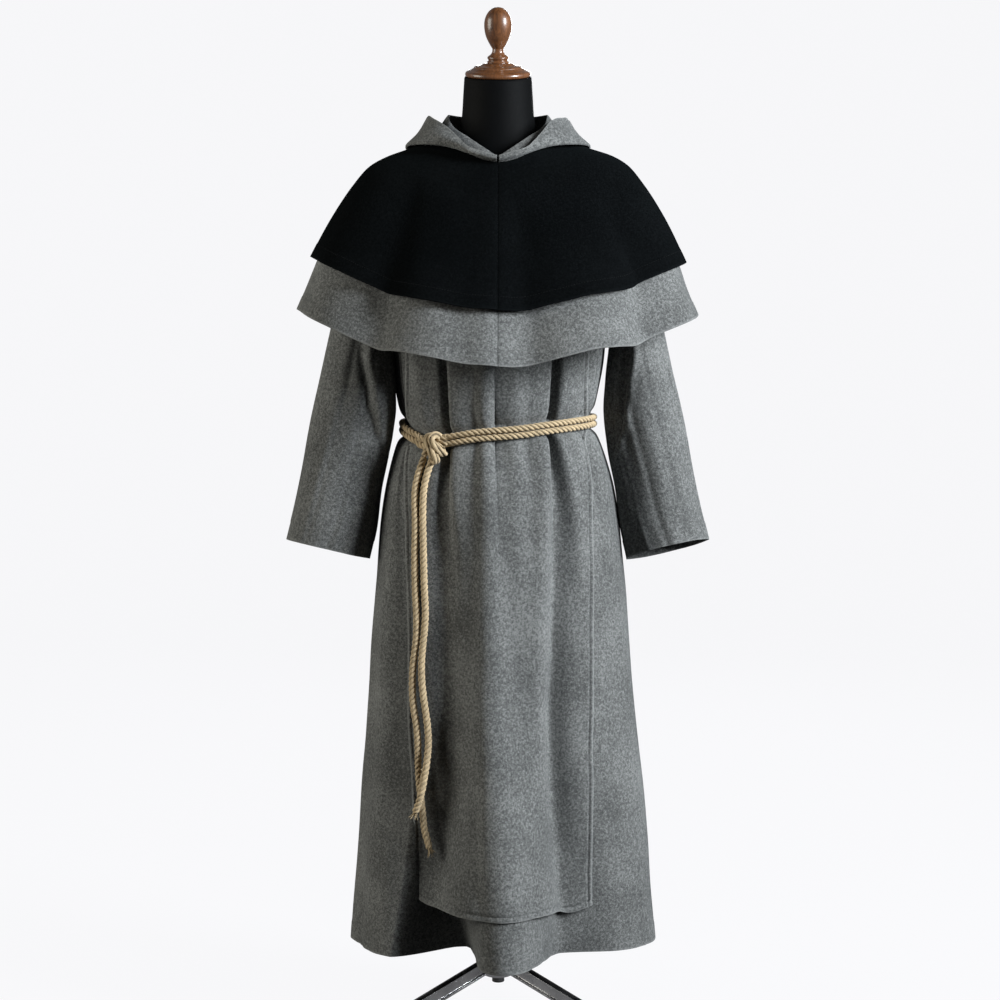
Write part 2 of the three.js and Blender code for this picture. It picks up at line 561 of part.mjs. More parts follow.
// Cap and finial are turned on the axis of the slanted neck plate: radius and height from the plate.
const neckPlate = new THREE.Group();
neckPlate.position.z = NECK_TOP;
neckPlate.rotation.x = rad(NECK_SLANT);
part.add(neckPlate);

function turned(profile, sides) {
  const geometry = new THREE.LatheGeometry(profile.map(([r, h]) => new THREE.Vector2(r, h)), sides);
  geometry.rotateX(Math.PI / 2);
  return geometry;
}
add('form_neck_cap', turned([[0, 0.4], [54, 0.4], [56.6, 3], [56.6, 7], [53, 11], [44, 14.5], [39, 18],
  [28, 21], [20, 23], [0, 23]], 24), wood, neckPlate);
add('form_finial', turned([[0, 23.3], [18.5, 23.3], [18.5, 26], [16.5, 28], [17.5, 31], [17.5, 34], [13, 37],
  [10, 41], [9.5, 47], [15, 56], [21, 69], [23.6, 85], [22, 98], [16, 109], [8, 115], [0, 116.5]], 24),
wood, neckPlate);

// ---- Stand ----
const formBottom = FORM.at(-1).frontZ;
const HUB_H = 40;
const HUB_R = 26;
const hubBottom = HUB_Z - HUB_H / 2 + 4;

function rod(radius, low, high, sides = 24) {
  const geometry = new THREE.CylinderGeometry(radius, radius, high - low, sides);
  geometry.rotateX(Math.PI / 2);
  geometry.translate(0, 0, (low + high) / 2);
  return geometry;
}
add('form_pole', rod(POLE_D / 2, hubBottom + HUB_H + SEAM, formBottom - SEAM), steel);
add('tripod_hub', rod(HUB_R, hubBottom, hubBottom + HUB_H), steel);

// A leg is a bar with a groove along each side, from the hub down to its foot.
const LEG_W = 16;
const LEG_T = 24;
const GROOVE = 3;
const legDrop = HUB_Z - FOOT_H - LEG_T / 2 + 2;   // so that its sloping underside meets the foot
const legFall = Math.atan2(legDrop, LEG_REACH - HUB_R);
const legStart = HUB_R + SEAM + LEG_T / 2 * Math.sin(legFall);
const legRun = LEG_REACH - legStart;

function leg() {
  const w = LEG_W / 2;
  const t = LEG_T / 2;
  const section = new THREE.Shape([[-w, -t], [w, -t], [w, -t / 3], [w - GROOVE, -t / 3], [w - GROOVE, t / 3],
    [w, t / 3], [w, t], [-w, t], [-w, t / 3], [-w + GROOVE, t / 3], [-w + GROOVE, -t / 3], [-w, -t / 3]]
    .map(([x, y]) => new THREE.Vector2(x, y)));
  return new THREE.ExtrudeGeometry(section, { depth: legRun / Math.cos(legFall), bevelEnabled: false });
}

for (const [name, angle] of Object.entries(LEG_ANGLES)) {
  const turn = new THREE.Group();
  turn.rotation.z = rad(angle);
  part.add(turn);
  // The bar's own length runs along its z; it is laid down to point away from the pole and fall.
  const bar = add(`tripod_leg_${name}`, leg(), steel, turn);
  bar.position.set(0, -legStart, HUB_Z);
  bar.rotation.x = Math.PI / 2 + legFall;
  const foot = add(`tripod_foot_${name}`, rod(12, 0, FOOT_H), rubber, turn);
  foot.position.y = -LEG_REACH + 8;
}

export default part;
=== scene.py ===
"""Monk habit on a dress form stand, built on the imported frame.

A grey wool tunic with sleeves, a scapular in front and behind, a grey and a black shoulder cape, a hood
worn down and a doubled jute belt hang on a limbless form with a turned wooden cap and finial, on a steel
pole with three legs. Sizes in the tables are millimetres from the pole's axis. The garment faces -Y, angle
0 is its centre front, 90 its right side as seen from the front, and 180 its centre back.
"""
import math

import bpy
import numpy as np
from bpy.props import FloatProperty, FloatVectorProperty, PointerProperty
from mathutils import Matrix, Vector


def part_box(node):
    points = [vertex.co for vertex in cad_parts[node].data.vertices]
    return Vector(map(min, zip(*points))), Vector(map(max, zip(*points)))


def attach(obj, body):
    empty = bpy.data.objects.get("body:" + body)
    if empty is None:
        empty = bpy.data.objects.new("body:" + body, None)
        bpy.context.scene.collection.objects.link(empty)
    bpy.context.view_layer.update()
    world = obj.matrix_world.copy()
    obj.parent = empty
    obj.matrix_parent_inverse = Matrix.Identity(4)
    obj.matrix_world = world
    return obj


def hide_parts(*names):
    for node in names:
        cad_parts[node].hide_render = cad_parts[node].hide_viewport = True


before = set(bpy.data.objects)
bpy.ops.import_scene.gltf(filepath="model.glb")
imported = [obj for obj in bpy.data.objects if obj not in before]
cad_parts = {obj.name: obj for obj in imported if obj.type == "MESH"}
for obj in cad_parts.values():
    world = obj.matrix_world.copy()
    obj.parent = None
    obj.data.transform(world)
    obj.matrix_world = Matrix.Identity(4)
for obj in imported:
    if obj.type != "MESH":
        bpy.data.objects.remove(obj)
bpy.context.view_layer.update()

bl_info = {
    "name": "Monk habit on a dress form stand",
    "version": (1, 0, 0),
    "blender": (4, 5, 0),
    "location": "View3D > Sidebar > Habit",
    "description": "Builds the habit, its rope belt, the form and the stand",
    "category": "Object",
}

MM = 0.001
BODY = "root"


def middle(solid):
    """The middle of a CAD node's box, in millimetres."""
    low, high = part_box(solid)
    return (Vector(low) + Vector(high)) / 2 / MM


AXIS = Vector((0, middle("form_pole").y, 0))
TUNIC_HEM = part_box("tunic_front")[0][2] / MM
SCAPULAR_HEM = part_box("scapular_front")[0][2] / MM
BELT_Z = 1088
KNEE_Z = 605
NECK_TOP = 1690
NECK_SLANT = 15
SIDES = {"left": -1, "right": 1}
WOOL = 2.2                      # thickness of the grey and the black cloth
LAYER = 1.4                     # gap between two layers of cloth that lie on each other
ROPE_D = 11.5


# ---- Tables: a row for each ring, from the neck down ----
def table(columns, rows):
    """Turns rows of numbers into named columns."""
    return {name: np.array(values, float) for name, values in zip(columns, zip(*rows))}


def level(z, front, left, right, back, *more):
    """A row for a ring that is at one height all round."""
    return (z, front, z, left, z, right, z, back, *more)


# front, left, right and back are reaches from the axis, and frontZ and so on are the heights there.
# stripL and stripR are the scapular's half widths; point makes a ring's front and back more pointed.
RING = ["frontZ", "front", "leftZ", "left", "rightZ", "right", "backZ", "back"]
TUNIC = table([*RING, "stripL", "stripR", "point"], [
    (1530, 99, 1576, 87, 1576, 87, 1563, 90, 150, 150, 1.00),       # neckline
    (1514, 105, 1566, 120, 1566, 120, 1549, 103, 150, 150, 1.00),   # yoke
    (1497, 111, 1554, 155, 1554, 155, 1531, 115, 150, 150, 1.00),
    (1478, 117, 1543, 186, 1543, 187, 1510, 125, 150, 150, 1.00),
    (1458, 122, 1527, 208, 1527, 208, 1486, 133, 150, 150, 1.00),   # shoulder point
    (1425, 127, 1485, 211, 1485, 211, 1450, 139, 150, 150, 1.00),   # armhole
    (1388, 131, 1415, 205, 1415, 204, 1403, 142, 150, 150, 1.00),
    level(1330, 134, 194, 190, 142, 150, 150, 1.00),                # underarm
    level(1215, 132, 185, 185, 130, 150, 150, 1.00),                # ribs
    level(1150, 127, 177, 176, 120, 150, 149, 1.00),
    level(1115, 121, 170, 169, 113, 149, 148, 1.00),
    level(1099, 114, 161, 161, 107, 148, 147, 1.00),                # groove under the belt
    level(1078, 113, 160, 160, 106, 148, 147, 1.00),
    level(1064, 119, 174, 172, 112, 149, 148, 1.00),
    level(1036, 127, 184, 184, 121, 151, 150, 1.00),                # hips
    level(980, 138, 198, 201, 138, 152, 153, 1.00),
    level(925, 144, 206, 210, 150, 150, 153.5, 1.00),
    level(815, 148, 216, 222, 165, 148, 155.5, 1.05),
    level(605, 150, 230, 241, 186, 146.5, 155, 1.10),                 # knee
    level(390, 142, 246, 263, 205, 135.5, 155, 1.10),
    level(SCAPULAR_HEM, 135, 254, 271, 213, 136, 155, 1.05),
    level(TUNIC_HEM, 130, 261, 278, 220, 136, 155, 1.00),
])
SHOULDER, UNDERARM, SCAPULAR_END, HEM = 4, 7, 20, 21
CAPE = table(RING, [
    (1531, 108, 1584, 92, 1584, 92, 1566, 99),     # neckline
    (1516, 114, 1573, 124, 1574, 124, 1551, 113),  # yoke
    (1498, 121, 1561, 159, 1563, 160, 1532, 126),
    (1476, 128, 1548, 193, 1551, 197, 1508, 137),
    (1451, 134, 1532, 217, 1536, 222, 1481, 146),  # shoulder
    (1405, 144, 1497, 245, 1500, 251, 1430, 158),
    (1348, 160, 1441, 278, 1442, 284, 1368, 172),  # upper arm
    (1278, 185, 1375, 309, 1368, 317, 1296, 192),  # under the black hem
    (1234, 200, 1332, 325, 1326, 331, 1252, 204),
    (1190, 214, 1289, 343, 1282, 350, 1205, 216),  # grey hem
])
BLACK_HEM, GREY_HEM = 7, 9
WAVES_FROM = 3                  # the row where the capes' waves start
HEM_DRAWN = 0.6                 # how far down to the black hem the drawing up of the hems starts
BLACK_LIFT = np.array([3.6, 3.6, 3.6, 3.6, 4.5, 6, 9, 13])
FORM = table([*RING, "slant"], [
    (NECK_TOP, 58, NECK_TOP, 58, NECK_TOP, 58, NECK_TOP, 58, NECK_SLANT),
    (1655, 60, 1658, 60, 1658, 60, 1660, 60, 8),
    (1622, 62, 1626, 62, 1626, 62, 1630, 62, 3),
    (1590, 65, 1600, 66, 1600, 66, 1604, 65, 0),
    (1566, 71, 1578, 74, 1578, 74, 1582, 71, 0),        # neck base
    (1542, 82, 1561, 92, 1561, 92, 1558, 82, 0),
    (1516, 92, 1551, 125, 1551, 125, 1538, 95, 0),
    (1490, 101, 1545.7, 160, 1545.7, 160, 1518, 107, 0),
    (1465, 109, 1533.6, 187, 1533.6, 187, 1492, 118, 0),
    (1440, 114, 1510, 197, 1510, 197, 1460, 126, 0),    # shoulder
    (1400, 119, 1455, 193, 1455, 193, 1415, 130, 0),
    (1350, 123, 1375, 183, 1375, 183, 1360, 131, 0),
    level(1300, 122, 175, 175, 126, 0),                 # chest
    level(1200, 115, 162, 162, 112, 0),
    level(1088, 98, 146, 146, 93, 0),                   # waist
    level(1000, 106, 160, 160, 110, 0),
    level(910, 114, 172, 172, 127, 0),                  # hips
    level(845, 115, 172, 172, 130, 0),
    level(829, 107, 164, 164, 122, 0),
])
WAIST_RINGS = 12                # the first of the form's level rings

# Folds of the skirt, shared by the tunic and the scapular over it: angle and half width in degrees, and
# how far the cloth stands out (+) or in (-), at the belt, the knee and the hem, and above the belt.
FOLD = ["belt", "knee", "hem", "widthBelt", "widthHem", "outBelt", "outKnee", "outHem", "outChest"]
SHARED_FOLDS = table(FOLD, [
    (-1, -1, 0, 10, 22, 3, 28, 112, 2),      # the long ridge that carries the front
    (-46, -40, -38, 5, 8, 2, 4, 0, 4),
    (-31, -22, -20, 7, 9, -5, -9, -4, -2),
    (-5, -5, -6, 4, 7, 4, 3, -2, 4),
    (3, 5, 4, 4, 6, -3, -4, 0, -1),
    (24, 17, 15, 6, 8, 4, 6, 2, 0),
    (32, 23, 22, 5.5, 7, -6, -23, -13, -2),
    (60, 47, 40, 9, 10, 6, 6, 3, 4),
    (-152, -146, -142, 9, 9, 5, 9, 16, 3),
    (-166, -164, -160, 7, 8, -7, -6, -12, -5),
    (176, 176, 178, 9, 10, 4, 9, 18, 2),
    (160, 157, 156, 7, 8, -8, -7, -12, -6),
    (142, 138, 134, 9, 9, 4, 8, 14, 3),
])
TUNIC_FOLDS = table(FOLD, [
    (-80, -76, -78, 8, 8, 2, 0, -8, 2),
    (-60, -56, -52, 9, 15, 3, 7, 24, 2),     # left lobe of the hem
    (-46, -40, -36, 8, 8, -5, -8, -6, -3),
    (52, 48, 44, 7, 8, -4, -4, -4, -4),
    (74, 68, 62, 10, 11, 3, 5, 8, 2),
    (118, 114, 112, 9, 9, 4, 8, 14, 2),
    (100, 98, 96, 8, 8, -3, -5, -8, -2),
    (-118, -114, -112, 9, 9, 4, 8, 14, 2),
    (-100, -98, -96, 8, 8, -3, -5, -8, -2),
])
# Small folds that the belt gathers: angle, how far it leans by the knee, half width, and how far the cloth
# stands out above and below the belt. The deep ones are narrow pleats that go under the rope.
GATHERS = table(["angle", "lean", "width", "above", "below"], [
    (-74, 6, 4, -3, -5), (-53, 12, 4, 3, 3), (-43, 9, 4, 2, 0),
    (-21, 9, 5, 3, 3), (-12, 6, 3, -2, -3), (-7.5, 4, 3.2, 5, 5), (-2.2, 6, 2.2, -8, -10), (9, 2, 4, 3, 3),
    (17, -6, 3, -2, -3), (27, -9, 4, 1, 5), (46, -9, 5, 2, 3),
    (57, -8, 3, -4, -7), (67, -7, 4, 3, 3), (79, -5, 3, -5, -5),
    (97, -2, 4, 2, 3), (110, -2, 3, -7, -9), (126, -2, 4, -3, -5), (150, -2, 4, 3, 3), (169, -1, 3, -10, -12),
    (-172, 0, 4, 2, 3), (-159, 1, 3, -9, -11), (-133, 3, 4, 3, 3), (-120, 2, 3, -7, -9), (-108, 2, 3.6, 2, 3),
    (-92, 3, 3.4, -4, -5),
])
# Pleats that lap, each a slot with a lip on one side of it: the slot's angle, lean and half width, how deep it
# is above and below the belt, and how far the lip stands out, on its right or, where that is negative, its left
LAPS = table(["angle", "lean", "width", "above", "below", "lip"], [
    (-63, 30, 1.3, -9, -10, 3), (-29.8, 8, 2.5, -17, -16, 4), (32.2, -6.5, 2.5, -24, -21, 8),
    (111, -2, 1.4, -8, -9, -3), (168, -1, 2.4, -15, -15, -5), (-160, 1, 2.4, -15, -15, 5), (-121, 2, 1.4, -8, -9, 3),
])
# How far the tunic's hem stands out from its ring in front, between the side seams: the left lobe, the hollow
# beside it, the long ridge and the shallow hollow on the right. It fades out upwards at HEM_TOP.
HEM_TOP = 640
HEM_FADE = 1.7
HEM_OUT = table(["angle", "out"], [
    (-88, 0), (-67, 2), (-51, 24), (-40, 39), (-35.5, 40), (-33, 24), (-31.6, 4), (-30.2, -24), (-28.8, -48),
    (-26.5, -62), (-22, -65), (-16, -51), (-12.5, -32), (-9.7, -12), (-7.8, 8), (-6.3, 33), (-5, 58), (-3.6, 80),
    (-1.3, 94), (1, 100), (3.4, 96), (5.7, 84), (8.3, 64), (12.8, 33), (20, -2), (25.6, -14), (33.7, -10),
    (39.3, -1), (45, 8), (53.6, 11), (64, 9), (72, 7), (88, 0),
])
# Seams of the tunic's side gores, pressed to a fine ridge: angle at the belt, the knee and the hem
GORE_SEAMS = table(["belt", "knee", "hem"], [(-66, -59, -63), (69, 63, 62), (-117, -121, -122), (114, 119, 121)])
GORE_RIDGE, GORE_WIDTH, GORE_TOP = 1.5, 0.9, 960
# Hood, worn down: at each angle the pocket side of the cloth, from its crest round the neck, down the inner
# layer to the fold that lies on the cape, and up the outer layer to the rim. R is from the axis.
HOOD = table(["angle", "crestR", "crestZ", "innerR", "innerZ", "foldR", "foldZ", "outerR", "outerZ", "rimR",
              "rimZ"], [
    (0.9, 108, 1542, 113, 1540, 118, 1535, 121, 1537, 119, 1541),
    (12, 103, 1556, 108, 1552, 116, 1540, 121, 1542, 119, 1548),
    (23, 97, 1568, 103, 1563, 114, 1547, 121, 1549, 119, 1556),
    (34, 93, 1579, 101, 1573, 115, 1555, 120, 1562, 114, 1572),
    (51, 89, 1592, 100, 1584, 127, 1565, 126, 1576, 109, 1594),
    (70, 86, 1607, 100, 1597, 147, 1570, 135, 1585, 113, 1611),
    (90, 85, 1625, 110, 1595, 157, 1573, 138, 1592, 119, 1622),
    (120, 84, 1629, 126, 1590, 171, 1561, 158, 1590, 137, 1620),
    (150, 83, 1630, 158, 1538, 198, 1450, 202, 1530, 154, 1612),
    (180, 82, 1630, 154, 1518, 188, 1394, 212, 1480, 162, 1602),
])
HOLLOW = {"angle": 24, "half": 8, "down": 0.70, "long": 0.045, "deep": 6}   # in each lapel
HOOD_LIFT = 1.2                 # the hood's seam stands on the grey cape's neckline
# Sleeve, from the armhole down: outer and inner edge in x and z, and half depth
SLEEVE = table(["outerX", "outerZ", "innerX", "innerZ", "depth"], [
    (211, 1526, 196, 1322, 58),   # armhole
    (222, 1514, 198, 1309, 61),
    (233, 1490, 198, 1296, 62),
    (248, 1440, 197, 1275, 61),
    (265, 1360, 194, 1232, 60),
    (288, 1258, 187, 1176, 58),
    (304, 1183, 183, 1120, 56),
    (324, 1092, 190, 1050, 55),
    (341, 1002, 204, 978, 55),
    (354, 940, 211, 918, 56),
    (367, 890, 225, 857, 57),     # cuff
])
CUFF = 10                       # the cuff's row in the table above
SLEEVE_Y = -8                   # the sleeves hang a little forward of the side seams
CUFF_DROP = {"left": 5, "right": 12}
# Long waves of a sleeve, by the angle round it from its outer edge, and the creases in the elbow's bend
SLEEVE_WAVES = table(["angle", "lean", "width", "out"], [
    (40, 8, 14, -2.5), (72, 6, 12, 2), (118, -4, 13, -3), (150, 0, 12, 2),
    (-38, -8, 14, -2), (-80, 4, 14, 2.5), (-125, 6, 13, -3), (-160, 0, 10, 2),
])
SLEEVE_CREASES = table(["place", "angle", "width", "slope", "out"], [
    (4.6, 70, 46, 0.9, -1.5), (5.5, 110, 50, -0.8, -1.8), (6.2, 60, 40, 0.7, 1.2), (5.0, -80, 50, 0.8, -1.8),
    (6.0, -110, 46, -0.9, -1.4), (7.4, 95, 42, 0.5, -1.0),
])
# A sleeve's inner side is folded in behind the edge of its front: how far round from the inner side that edge
# is at each place down the sleeve, and how deep the fold is
SLEEVE_FOLD = table(["place", "edge", "deep"], [
    (0, 88, 0), (2, 86, 10), (5, 81, 15), (6.1, 66, 14), (6.75, 52, 10), (7.2, 30, 4), (7.6, 8, 0), (10, 0, 0),
])
BELT_LINE = table(["angle", "z"], [
    (-180, 1094), (-130, 1092), (-90, 1089), (-69, 1083), (-52, 1069), (-40, 1063), (-27, 1068), (-10, 1076),
    (10, 1081), (31, 1089), (68, 1097), (90, 1099), (130, 1098), (180, 1094),
])
# Soft waves of both capes: angle and half width in degrees, and how far they stand out at the hem
CAPE_WAVES = table(["angle", "width", "out"], [
    (-63, 11, 7), (-40, 8, -13), (-20, 10, 7), (-4, 5, 5), (9, 6, -10), (29, 12, 12), (49, 7, -13), (66, 9, 8),
    (98, 13, -7), (128, 12, 8), (152, 9, -9), (172, 10, 8), (-166, 8, -9), (-142, 12, 8), (-116, 11, -8),
    (-90, 11, 5),
])
# How far the capes' hems are drawn up in front
CAPE_HEM = table(["angle", "up"], [
    (-55, 0), (-38, -4), (-29, 2), (-24, 3.5), (-17, 3.5), (-7, 0), (2, 0), (11, 3.5), (17, 6), (25, 8), (33, 2),
    (41, -4), (52, 0),
])
# Slow unevenness of every cloth: waves round the axis, waves to the metre down it, phase and height
DRIFT = table(["round", "down", "phase", "out"], [
    (5, 0.7, 0.4, 0.7), (9, 1.6, 2.1, 0.6), (14, 2.3, 4.4, 0.45), (21, 3.9, 1.3, 0.3), (31, 6.1, 5.2, 0.18),
    (3, 4.7, 3.0, 0.35), (17, 8.3, 0.9, 0.16),
])

FORM_CLEAR = 3.5                # how far the tunic is kept off the form, from its hips to its chest
BELT_PRESS = 45                 # how far from the belt the cloth hangs free of it
FOLDS_FROM, FOLDS_FULL = 5, 20  # how far from the belt its small folds start, and are deepest
FADE_UP, FADE_DOWN = 210, 150   # over how much they fade beyond that
GATHER_SPREAD, LAP_SPREAD = 300, 110        # how far from the belt a small fold is twice as wide
LIP_FROM, LIP_FULL, LIP_FADE = 0.3, 1.3, 2.4    # where a lip rises and fades, in half widths of its slot


# ---- Curves through the tables ----
def at(rows, column, place):
    """A column's value between two rows, on a smooth curve that never overshoots."""
    values = rows[column]
    i = np.clip(np.floor(place).astype(int), 0, len(values) - 2)
    t = place - i
    steps = np.diff(values)
    step, before, after = steps[i], steps[np.maximum(i - 1, 0)], steps[np.minimum(i + 1, len(steps) - 1)]

    def slope(a, b):
        return np.where(a * b > 0, 2 * a * b / np.where(a * b > 0, a + b, 1), 0)

    start = np.where(i > 0, slope(before, step), step)
    end = np.where(i < len(steps) - 1, slope(step, after), step)
    return (values[i] + step * t * t * (3 - 2 * t) + (t - 2 * t ** 2 + t ** 3) * start
            + (t ** 3 - t ** 2) * end)


def mix(a, b, t):
    """a at 0, b at 1."""
    return a + (b - a) * t


def between(z, high, low):
    """How much of the way from one height down to another a point has come."""
    return np.clip((high - z) / (high - low), 0, 1)


def ease(x, low, high):
    """0 up to low, 1 from high on, and a soft step between them."""
    t = np.clip((x - low) / (high - low), 0, 1)
    return t * t * (3 - 2 * t)


def bump(x):
    """A round rise: 1 in its middle, and about a third at its half width."""
    return np.exp(-x * x)


def turn_to(angle, target):
    """How far an angle is from another, from -180 to 180."""
    return (angle - target + 540) % 360 - 180


def rows_of(rows):
    """The rows of a table, one at a time, by name."""
    return [dict(zip(rows, values)) for values in zip(*rows.values())]


def ring_point(rows, place, angle):
    """A point of a ring, before any fold."""
    a = np.radians(angle)
    c, s = np.cos(a), np.sin(a)
    front = np.where(c > 0, at(rows, "front", place), at(rows, "back", place))
    front_z = np.where(c > 0, at(rows, "frontZ", place), at(rows, "backZ", place))
    side = np.where(s < 0, at(rows, "left", place), at(rows, "right", place))
    side_z = np.where(s < 0, at(rows, "leftZ", place), at(rows, "rightZ", place))
    point = at(rows, "point", place) if "point" in rows else 1
    y = -np.sign(c) * front * np.abs(c) ** point
    z = mix(side_z, front_z, c * c)
    if "slant" in rows:
        z = z + y * np.tan(np.radians(at(rows, "slant", place)))
    return np.stack(np.broadcast_arrays(side * s, y, z), -1)


def outwards(points, out):
    """Moves points away from the pole's axis."""
    flat = np.hypot(points[..., 0], points[..., 1])
    grow = (1 + out / flat)[..., None]
    return np.concatenate([points[..., :2] * grow, points[..., 2:]], -1)


def belt_height(angle):
    """The height of the belt's middle line."""
    return at(BELT_LINE, "z", in_order(BELT_LINE, turn_to(angle, 0)))


def free_of_belt(z, near=0.35):
    """1 for cloth that hangs free, down to near under the belt, which presses it flat."""
    return near + (1 - near) * np.minimum(np.abs(z - BELT_Z) / BELT_PRESS, 1)


def fold_depth(folds, angle, z):
    """How far the long folds stand out."""
    to_knee = between(z, BELT_Z, KNEE_Z)
    to_hem = between(z, KNEE_Z, TUNIC_HEM) ** 1.4

    def down(belt, knee, hem):
        return mix(mix(belt, knee, to_knee), hem, to_hem)

    total = 0
    for f in rows_of(folds):
        below = down(f["outBelt"], f["outKnee"], f["outHem"])
        out = np.where(z > BELT_Z, f["outChest"] * between(z, 1420, 1300), below)
        width = down(f["widthBelt"], f["widthBelt"], f["widthHem"])
        total = total + out * bump(turn_to(angle, down(f["belt"], f["knee"], f["hem"])) / width)
    return total * free_of_belt(z)


def pleat(x):
    """A pinched fold: sharp at its bottom, with long round sides."""
    return np.exp(0.2 - np.sqrt(x * x + 0.04))


def gather_depth(angle, z):
    """How far the small folds at the belt stand out. They fade away from it, up and down."""
    above = z > BELT_Z
    off = np.abs(z - BELT_Z)
    fade = np.exp(-np.maximum(off - FOLDS_FULL, 0) / np.where(above, FADE_UP, FADE_DOWN))
    show = ease(off, FOLDS_FROM, FOLDS_FULL) * fade

    def across(fold, width):
        """How far a point is from a fold's line, in half widths."""
        return turn_to(angle, fold["angle"] + fold["lean"] * between(z, BELT_Z, KNEE_Z)) / width

    total = 0
    for g in rows_of(GATHERS):
        aside = across(g, g["width"] * (1 + off / GATHER_SPREAD))
        out = np.where(above, g["above"], g["below"])
        total = total + out * (pleat(aside) if g["below"] < 0 else bump(aside))
    for g in rows_of(LAPS):
        aside = across(g, g["width"] * (1 + np.where(above, 0.2, 1) * off / LAP_SPREAD))
        beyond = aside * np.sign(g["lip"])
        total = total + np.where(above, g["above"], g["below"]) * np.exp(-aside ** 4)
        total = total + abs(g["lip"]) * ease(beyond, LIP_FROM, LIP_FULL) * np.exp(
            -np.maximum(beyond - LIP_FULL, 0) / LIP_FADE)
    return total * show


def clear_of_form(points, angle):
    """Keeps the deep folds from going into the form: the cloth lies on it at the bottom of a fold."""
    z = points[..., 2]
    place = np.interp(-z, -FORM["frontZ"][WAIST_RINGS:], np.arange(WAIST_RINGS, len(FORM["frontZ"])))
    form = np.linalg.norm(ring_point(FORM, place, angle)[..., :2], axis=-1)
    free = np.linalg.norm(points[..., :2], axis=-1) - form - FORM_CLEAR
    lift = (np.hypot(free, 2) - free) / 2 * ease(z, 820, 860) * (1 - ease(z, 1290, 1340))
    return outwards(points, lift)


def in_order(rows, value):
    """The place in a table where its angle column reaches a value."""
    return np.interp(value, rows["angle"], np.arange(len(rows["angle"])))


def hem_depth(angle, z, shared):
    """The hem's outline takes over from the long folds towards the floor, in front."""
    aside = turn_to(angle, 0)
    ahead = (aside > HEM_OUT["angle"][0]) & (aside < HEM_OUT["angle"][-1])
    target = at(HEM_OUT, "out", in_order(HEM_OUT, aside))
    return np.where(ahead, (target - shared) * between(z, HEM_TOP, TUNIC_HEM) ** HEM_FADE, 0)


def gore_ridge(angle, z):
    """The pressed seams of the side gores, a fine ridge each."""
    to_knee, to_hem = between(z, GORE_TOP, KNEE_Z), between(z, KNEE_Z, TUNIC_HEM)
    total = 0
    for g in rows_of(GORE_SEAMS):
        line = mix(mix(g["belt"], g["knee"], to_knee), g["hem"], to_hem)
        total = total + GORE_RIDGE * bump(turn_to(angle, line) / GORE_WIDTH)
    return total * between(z, GORE_TOP, GORE_TOP - 120)


def drift(angle, z, share=1.0, turn=0.0):
    """Slow unevenness of hand-cut cloth."""
    total = 0
    for d in rows_of(DRIFT):
        total = total + d["out"] * np.cos(d["round"] * np.radians(angle) + 2 * math.pi * d["down"] * z / 1000
                                          + d["phase"] + turn)
    return share * total


def tunic_point(place, angle, under_scapular=False):
    """A point of the tunic's outer side, or of the smoother form that the scapular takes over it."""
    p = ring_point(TUNIC, place, angle)
    z = p[..., 2]
    free = free_of_belt(z, 0)
    shared = fold_depth(SHARED_FOLDS, angle, z)
    own = fold_depth(TUNIC_FOLDS, angle, z)
    own = own + hem_depth(angle, z, own + shared)
    own = (own + np.hypot(own, 4 * free)) / 2 if under_scapular else own + gore_ridge(angle, z)
    out = own + shared + gather_depth(angle, z) + drift(angle, z) * free
    p = clear_of_form(outwards(p, out), angle)
    p[..., 2] += bump((z - BELT_Z) / 90) * (belt_height(angle) - BELT_Z)
    return p


def strip_angle(place, half, cap):
    """The scapular's edge angle at a ring, on the left (-1) or the right (1) half, capped at the shoulder."""
    side, strip = ("left", "stripL") if half < 0 else ("right", "stripR")
    sine = np.minimum(at(TUNIC, strip, place) / at(TUNIC, side, place), 1)
    return half * np.minimum(np.degrees(np.arcsin(sine)), cap)


# ---- Cloth ----
TUNIC_TURNED, STRIP_TURNED, CUFF_TURNED, CAPE_TURNED = 30, 9, 32, 24   # from each edge to its stitches
SIDE_SEAM = 89.94               # where the front and back panels meet, in degrees
ARMHOLE = 66                    # where a panel ends at the armhole
STRIP_CAP = 88                  # where the scapular's edge is taken to be, at most, to place a panel's columns
HEM_LIFT, CAPE_LIFT = 0.7, 0.6  # how far a hem's extra layer lifts the cloth
HEM_GROOVE, STRIP_GROOVE, SEAM_GROOVE = (2.0, 0.5), (2.0, 1.7), (5, 1.0)    # half width and depth
EDGE_HIGHLIGHT_REACH = 1.7                 # how far from a cut edge the painted highlight reaches
HEM_RISE = 1.4                  # how many rings up the front strip's uneven hem is felt
HEM_CORNER_UP, HEM_SAG = 9, 14  # the front strip's hem is drawn up at its left corner and sags near its right
STRIP_EDGES = ["left", "right", "hem"]


def side_angle(place):
    """Where a panel ends at each ring: at the side seam, or at the open armhole."""
    open_arm = np.clip(np.minimum(place - SHOULDER, UNDERARM - place), 0, 1)
    return mix(SIDE_SEAM, ARMHOLE, open_arm)


def panel_angle(place, across):
    """A front panel's angle: across is 0 at the left seam, 1 and 2 at the scapular's edges, 3 at the right."""
    left, right = strip_angle(place, -1, STRIP_CAP), strip_angle(place, 1, STRIP_CAP)
    side = side_angle(place)
    return np.where(across < 1, mix(-side, left, across),
                    np.where(across < 2, mix(left, right, across - 1), mix(right, side, across - 2)))


def runs(*parts):
    """Places along a surface: each part is (from, to, steps), end to end."""
    return np.concatenate([np.linspace(a, b, n, endpoint=False) for a, b, n in parts] + [[parts[-1][1]]])


